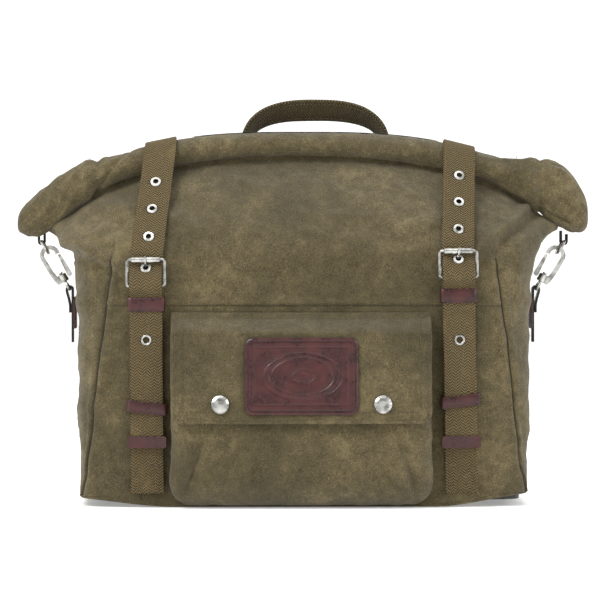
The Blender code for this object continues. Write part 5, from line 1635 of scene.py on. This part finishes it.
    def build_leather(self) -> None:
        """The fixed keeper under the buckle and the loose one lower down, each with its stitches."""
        label, finishes, line = self.side.label, self.body.finishes, self.line
        stack = self.lower_stand + 2 * self.layer + self.thickness / 2 + GAP
        left = self.side is Side.LEFT
        jobs = (
            ("fixed", line.place(self.heel - 0.017, 0.0), self.width + 0.0020, stack, 0.013, 0.0, "bag"),
            ("loose", line.place(line.length_at(0.0925 if left else 0.0985), 0.0), self.width + 0.0044,
             stack - self.layer + GAP, 0.011, -6.0 if left else 6.0, f"{label}_keeper"),
        )
        for kind, place, inner, high, height, tilt, rider in jobs:
            keeper, lines = self.loop_of_leather(
                f"{label}_{kind}_leather_keeper", place, inner, self.leather, high, height, tilt)
            settle(keeper, finishes.leather, rider, [f"{label}_{kind}_keeper"])
            sewing = Stitching(2.6 * MM, 1.9 * MM, 0.30 * MM)
            out = -np.array(place.to_3x3())[:, 1]
            for path in lines:
                sewing.run(path, out, lift=0.0001)
            sewing.build(f"{label}_{kind}_keeper_stitching", finishes.dark_thread, rider)

    def build_lower(self) -> None:
        """Up behind the heel bar, round it on a half circle, and a little way down in front."""
        line, heel = self.line, self.heel
        climb = np.linspace(0.0, heel - 0.001, 90)
        rise = ease(climb, (0.0, heel - 0.007, heel - 0.001),
                    (self.lower_stand, self.lower_stand, self.buckle_stand - self.loop))
        behind = line.raised(climb, rise)
        place = line.place(heel, self.buckle_stand)
        turn = np.radians(np.linspace(0.0, 180.0, 17))
        bar = np.stack([np.zeros_like(turn), self.loop * np.cos(turn), self.loop * np.sin(turn)], axis=-1)
        bar = bar @ np.array(place.to_3x3()).T + np.array(place.translation)
        fall = np.linspace(heel - 0.001, heel - self.fold, 30)
        stand = ease(fall, (heel - self.fold, heel - 0.0095, heel), (
            self.lower_stand + self.layer, self.lower_stand + self.layer, self.buckle_stand + self.loop))
        front = line.raised(fall, stand)
        centres = np.concatenate([behind, bar, front])
        across = unit(line.sample(line.across, np.concatenate([climb, np.full(len(turn), heel), fall])))
        strap = band(f"{self.side.label}_buckle_webbing", centres, across, self.width, self.thickness)
        slot_turns = np.arange(24) * 2 * math.pi / 24
        half_slot, half_long = 0.002, 0.008
        outline = np.stack([
            half_slot * np.cos(slot_turns), np.zeros(24), half_slot * np.sin(slot_turns)
            + (half_long - half_slot) * np.sign(np.sin(slot_turns)) - 0.0045,
        ], axis=-1)
        rings = np.stack([outline + np.array([0.0, y, 0.0]) for y in (-self.loop - 0.002, self.buckle_stand)])
        rings = np.einsum("ij,abj->abi", np.array(place.to_3x3()), rings) + np.array(place.translation)
        cutter = swept("slot_drill", rings)
        modifier = strap.modifiers.new("slot", "BOOLEAN")
        modifier.operation, modifier.solver, modifier.object = "DIFFERENCE", "EXACT", cutter
        apply_modifiers(strap)
        bpy.data.objects.remove(cutter, do_unlink=True)
        settle(strap, self.body.finishes.webbing, "bag", [f"{self.side.label}_lower_strap"])
        sewing = Stitching(3.2 * MM, 2.3 * MM, 0.40 * MM)
        face = self.lower_stand + self.thickness / 2 + 0.0001
        inner = self.width / 2 - 0.004
        for low, high in ((0.003, 0.026),):
            corners = [(-inner, low), (inner, low), (inner, high), (-inner, high), (-inner, low),
                       (inner, high), (inner, low), (-inner, high)]
            for (a0, l0), (a1, l1) in zip(corners, corners[1:]):
                share = np.linspace(0.0, 1.0, 30)
                length = l0 + (l1 - l0) * share
                spread = (a0 + (a1 - a0) * share)[:, None]
                sideways = spread * unit(line.sample(line.across, length))
                points = line.raised(length, np.full_like(length, face)) + sideways
                sewing.run(points, line.out(length))
        sewing.build(f"{self.side.label}_strap_stitching", self.body.finishes.thread, "bag")

    def build_top(self) -> None:
        """The long strap with its eyelet holes, and the bare eyelet under the buckle."""
        line, heel = self.line, self.heel
        roller = heel + self.buckle_length
        tail = self.tail - self.foot
        lengths = np.unique(np.concatenate([
            np.linspace(tail, heel - self.fold - 0.010, 60),
            np.linspace(heel - self.fold - 0.010, roller + 0.004, 60),
            np.linspace(roller + 0.004, line.lengths[-1], 90),
        ]))
        centres = line.raised(lengths, self.top_stand(lengths))
        across = unit(line.sample(line.across, lengths))
        worn = Line(centres, across)
        start = float(np.interp(roller - self.drop, lengths, worn.lengths))
        places = [worn.place(start + row * self.pitch, 0.0) for row in range(4)]
        low_at = float(np.interp(line.length_at(self.low_eyelet), lengths, worn.lengths))
        low = worn.place(low_at, 0.0)
        strap = band(f"{self.side.label}_closing_webbing", centres, across, self.width, self.thickness)
        cut_holes(strap, [*places, low], 0.0037)
        settle(strap, self.body.finishes.webbing, "bag", [f"{self.side.label}_top_strap"])
        section = [(0.0027, 0.0), (0.0028, 0.0011), (0.0031, 0.00165), (0.0038, 0.0019), (0.0046, 0.0018),
                   (0.0052, 0.0013), (0.0050, 0.0011), (0.0034, 0.0011)]
        ring = section + [(r, -d) for r, d in section[:0:-1]]
        eyelet = turned(f"{self.side.label}_low_eyelet", ring, low)
        settle(eyelet, self.body.finishes.nickel, "bag")


# ---------------------------------------------------------------- carry handle and back

@dataclass
class CarryHandle:
    """The webbing handle behind the roll, the strip that it is sewn to, and the loops on the back."""

    body: CanvasBody
    centre: float = 0.012
    half_span: float = 0.068
    base: float = 0.324
    crest: float = 0.370
    squareness: float = 2.8
    width: float = 0.025
    thickness: float = 0.003
    depth: float = 0.0285
    twist_foot: float = 80.0
    twist_crest: float = 40.0
    strip_half: float = 0.115
    loop_x: float = 0.100
    loop_low: float = 0.196
    loop_high: float = 0.236
    loop_bulge: float = 0.0085

    def build(self) -> None:
        """Makes the handle, its stitches, the strip and the loops."""
        turn = np.radians(np.linspace(0.0, 180.0, 121))
        power = 2.0 / self.squareness
        x = self.half_span * np.sign(np.cos(turn)) * np.abs(np.cos(turn)) ** power
        z = self.base + (self.crest - self.base) * np.abs(np.sin(turn)) ** power
        centres = np.stack([self.centre + x, np.full_like(x, self.depth), z], axis=-1)
        tangents = unit(np.gradient(centres, axis=0))
        inwards = np.cross(tangents, np.array([0.0, 1.0, 0.0]))
        share = np.sin(turn)[:, None] ** 1.5
        twist = np.radians(self.twist_foot + (self.twist_crest - self.twist_foot) * share)
        across = np.cos(twist) * inwards + np.sin(twist) * np.array([0.0, 1.0, 0.0])
        handle = band("handle_webbing", centres, across, self.width, self.thickness)
        settle(handle, self.body.finishes.handle, "handle", ["carry_handle"])
        normals = unit(np.cross(across, tangents))
        sewing = Stitching(3.4 * MM, 2.5 * MM, 0.38 * MM)
        for away in (-0.0085, 0.0085):
            for face in (-1.0, 1.0):
                edge, out = (centres + away * across)[6:-6], (face * normals)[6:-6]
                sewing.run(edge, out, lift=self.thickness / 2 + 0.0002)
        sewing.build("handle_stitching", self.body.finishes.thread, "handle")
        self.build_strip()
        for side in Side:
            self.build_loop(side)

    def build_strip(self) -> None:
        """The black strip: a sheet that stands behind the roll, from the mouth to the roll's top line."""
        x = self.centre + np.linspace(-self.strip_half, self.strip_half, 120)[None, :]
        share = np.linspace(0.0, 1.0, 30)[:, None]
        low = self.body.roll_centre(x) - self.body.roll_half(x) - GAP + 0.002
        high = self.body.roll_centre(x) + self.body.roll_half(x) + 0.0002
        z = low + (high - low) * share
        y = np.full(z.shape, self.body.mouth_depth / 2 + 0.0056)
        points = np.stack([np.broadcast_to(x, z.shape), y, z], axis=-1)
        strip = cloth_sheet("handle_strip", points, 0.002, (0, 1, 0))
        settle(strip, self.body.finishes.black, "bag", ["handle_anchor"])

    def build_loop(self, side: Side) -> None:
        """A webbing loop on the back that stands off by a sine hump, flat above and below."""
        z = np.linspace(self.loop_low, self.loop_high, 60)
        phase = math.pi * (z - self.loop_low) / (self.loop_high - self.loop_low)
        lift = self.loop_bulge * np.sin(phase) ** 1.5
        y = self.body.base_depth / 2 + 2 * GAP + 0.001 + lift
        centres = np.stack([np.full_like(z, side.value * self.loop_x), y, z], axis=-1)
        across = np.broadcast_to(np.array([1.0, 0.0, 0.0]), centres.shape)
        loop = band(f"{side.label}_hanging_loop", centres, across, 0.025, 0.002)
        settle(loop, self.body.finishes.black, "bag", [f"{side.label}_rear_loop"])


# ---------------------------------------------------------------- side clips

@dataclass
class SideClip:
    """One side's hanging tab and side strap, and the stitches on its leather patch."""

    body: CanvasBody
    side: Side
    eye_wire: float = 0.0014
    turn_height: float = 0.200
    strap_foot: float = 0.150
    strap_width: float = 0.016
    strap_thickness: float = 0.002
    patch_wall: float = 0.002
    ring_x: float = 0.247
    ring_height: float = 0.2450
    ring_wire: float = 0.0015
    tab_width: float = 0.016
    tab_wall: float = 0.0016

    def arc(self, centre: tuple[float, float], radius: float, start: float, end: float, count: int) -> Array:
        """Points on a circle from start to end in degrees."""
        angle = np.radians(np.linspace(start, end, count))
        return np.stack([centre[0] + radius * np.cos(angle), centre[1] + radius * np.sin(angle)], axis=-1)

    def ribbon(self, name: str, path: Array, width: float, wall: float) -> bpy.types.Object:
        """A strap along an (x, z) path in the plane y = 0, mirrored to this side."""
        centres = np.stack([self.side.value * path[:, 0], np.zeros(len(path)), path[:, 1]], axis=-1)
        across = np.broadcast_to(np.array([0.0, 1.0, 0.0]), centres.shape)
        return band(name, centres, across, width, wall)

    def build(self) -> None:
        """Makes the side strap round the swivel, the tab round the D-ring, and their trims."""
        label, finishes = self.side.label, self.body.finishes
        gusset = self.body.base_width / 2 + self.body.flare
        inner = gusset + 2 * GAP + self.patch_wall + self.strap_thickness / 2
        eye = inner + self.eye_wire + GAP + self.strap_thickness / 2
        radius = self.eye_wire + GAP + self.strap_thickness / 2
        height = self.turn_height
        rise = np.linspace(self.strap_foot, height - 0.002, 20)
        foot = np.stack([np.full_like(rise, inner), rise], axis=-1)
        front, close = eye + radius, inner + self.strap_thickness + GAP
        fall = np.array([(front, height - 0.002), (close + 0.0012, height - 0.009),
                         (close, height - 0.015), (close, height - 0.022)])
        path = np.concatenate([foot, self.arc((eye, height), radius, 180.0, 0.0, 15), fall])
        strap = self.ribbon(f"{label}_clip_leather", path, self.strap_width, self.strap_thickness)
        settle(strap, finishes.black_leather, "bag", [f"{label}_side_strap"])
        radius = self.ring_wire + GAP + self.tab_wall / 2
        ends = []
        for x in (self.ring_x - radius, self.ring_x + radius):
            spot = np.array([x])
            ends.append((x, float((self.body.roll_centre(spot) - self.body.roll_half(spot))[0]) - 2 * GAP))
        loop = self.arc((self.ring_x, self.ring_height), radius, 180.0, 360.0, 15)
        path = np.concatenate([[ends[0]], loop, [ends[1]]])
        tab = self.ribbon(f"{label}_ring_tab", path, self.tab_width, self.tab_wall)
        settle(tab, finishes.black, "bag", [f"{label}_collar_tab"])
        sewing = Stitching(2.8 * MM, 2.1 * MM, 0.34 * MM)
        outward = np.array([self.side.value, 0.0, 0.0])
        for y in (-0.0135, 0.0135):
            z = np.linspace(0.166, 0.190, 30)
            points = np.stack([np.full_like(z, self.side.value * (gusset + GAP + self.patch_wall)),
                               np.full_like(z, y), z], axis=-1)
            sewing.run(points, outward, lift=0.0002)
        for z in (0.1655, 0.1905):
            y = np.linspace(-0.0135, 0.0135, 30)
            points = np.stack([np.full_like(y, self.side.value * (gusset + GAP + self.patch_wall)), y,
                               np.full_like(y, z)], axis=-1)
            sewing.run(points, outward, lift=0.0002)
        sewing.build(f"{label}_side_stitching", finishes.dark_thread, "bag")


# ---------------------------------------------------------------- pieces kept from the frame

@dataclass
class KeptPieces:
    """CAD nodes whose shape is right: metal, small leather, and what lies inside the bag."""

    finishes: Finishes
    leather_edge: float = 0.35 * MM

    def build(self) -> None:
        """Gives each shown node its material, and softens the edges of cut leather."""
        for name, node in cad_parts.items():
            if node.hide_render:
                continue
            finish = self.choose(name)
            for slot in node.material_slots:
                slot.material = finish
            if finish is self.finishes.leather:
                weld = node.modifiers.new("weld", "WELD")
                weld.merge_threshold = 1e-6
                soft = node.modifiers.new("soft_edge", "BEVEL")
                soft.width = self.leather_edge
                soft.segments = 2
                soft.limit_method = "ANGLE"
                soft.angle_limit = math.radians(40.0)
            LOG.info("%s keeps its CAD shape, in %s", name, finish.name)

    def choose(self, name: str) -> bpy.types.Material:
        """The material of a kept node, from what it is."""
        if name.endswith(("keeper", "end_cap", "side_patch")):
            return self.finishes.leather
        if name.endswith("stiffener"):
            return self.finishes.board
        if name == "inner_liner":
            return self.finishes.liner
        return self.finishes.nickel


# ---------------------------------------------------------------- studio

@dataclass
class Studio:
    """A pale floor that curves up all round like a bowl, soft lights and a long lens."""

    finishes: Finishes
    target: tuple[float, float, float] = (-0.0032, -0.02, 0.1905)
    distance: float = 3.4
    azimuth: float = -1.0
    elevation: float = 1.2
    frame_width: float = 0.565
    floor_steps: tuple[int, int] = (60, 96)
    flat_share: float = 0.6  # of the steps outwards, before the floor curves up
    flat_radius: float = 4.4
    wall_run: float = 1.2
    wall_rise: float = 3.5
    paper_glow: float = 0.28

    def build(self) -> None:
        """Makes the floor, the lights, the sky light and the camera."""
        rows, columns = self.floor_steps
        turn = np.arange(columns)[None, :] * 2 * math.pi / columns
        t = np.linspace(0.0, 1.0, rows)[:, None]
        bend = np.maximum(t - self.flat_share, 0.0) / (1.0 - self.flat_share) * math.pi / 2
        radius = np.minimum(t / self.flat_share, 1.0) * self.flat_radius + self.wall_run * np.sin(bend)
        height = np.broadcast_to(self.wall_rise * (1.0 - np.cos(bend)) - GAP, (rows, columns))
        points = np.stack([radius * np.cos(turn), radius * np.sin(turn), height], axis=-1)
        floor = new_object("studio_floor", points.reshape(-1, 3), lattice(rows, columns, wrap_columns=True))
        face_outward(floor, merge=1e-6)
        paper = PlainSurface("studio_paper", "F4F4F2", "FAFAF9", 0.8, 0.2).build()
        shader = next(node for node in paper.node_tree.nodes if node.type == "BSDF_PRINCIPLED")
        shader.inputs["Emission Color"].default_value = (1.0, 1.0, 1.0, 1.0)
        shader.inputs["Emission Strength"].default_value = self.paper_glow
        floor.data.materials.append(paper)
        self.light("key", (-1.7, -1.7, 2.6), 1.4, 74.0)
        self.light("fill", (2.0, -1.6, 1.6), 1.6, 20.0)
        self.light("top", (0.0, -0.2, 2.6), 2.0, 30.0)
        self.light("rim", (0.6, 1.6, 1.8), 1.5, 20.0)
        world = bpy.data.worlds.new("studio_world")
        bpy.context.scene.world = world
        bpy.context.scene.view_settings.view_transform = "Standard"
        world.use_nodes = True
        world.node_tree.nodes["Background"].inputs[0].default_value = (1.0, 1.0, 1.0, 1.0)
        world.node_tree.nodes["Background"].inputs[1].default_value = 0.42
        lens = bpy.data.cameras.new("camera")
        lens.sensor_width = 36.0
        lens.lens = 36.0 * self.distance / self.frame_width
        lens.clip_end = 50.0
        camera = bpy.data.objects.new("camera", lens)
        bpy.context.scene.collection.objects.link(camera)
        a, e = math.radians(self.azimuth), math.radians(self.elevation)
        away = Vector((math.sin(a) * math.cos(e), -math.cos(a) * math.cos(e), math.sin(e)))
        camera.location = Vector(self.target) + away * self.distance
        camera.rotation_euler = (-away).to_track_quat("-Z", "Y").to_euler()
        bpy.context.scene.camera = camera

    def light(self, name: str, place: tuple[float, float, float], size: float, power: float) -> None:
        """A square soft light that looks at the bag."""
        data = bpy.data.lights.new(name, "AREA")
        data.energy, data.size = power, size
        lamp = bpy.data.objects.new(name, data)
        bpy.context.scene.collection.objects.link(lamp)
        lamp.location = place
        lamp.rotation_euler = (Vector(self.target) - Vector(place)).to_track_quat("-Z", "Y").to_euler()


def main() -> None:
    """Builds the bag's sub-assemblies in order, then the studio."""
    logging.basicConfig(level=logging.INFO, format="%(message)s")
    finishes = Finishes()
    body = CanvasBody(finishes)
    body.build()
    RolledCollar(body).build()
    FrontPocket(body).build()
    for side in Side:
        ClosingStrap(body, side).build()
        SideClip(body, side).build()
    CarryHandle(body).build()
    KeptPieces(finishes).build()
    Studio(finishes).build()


if __name__ == "__main__":
    main()
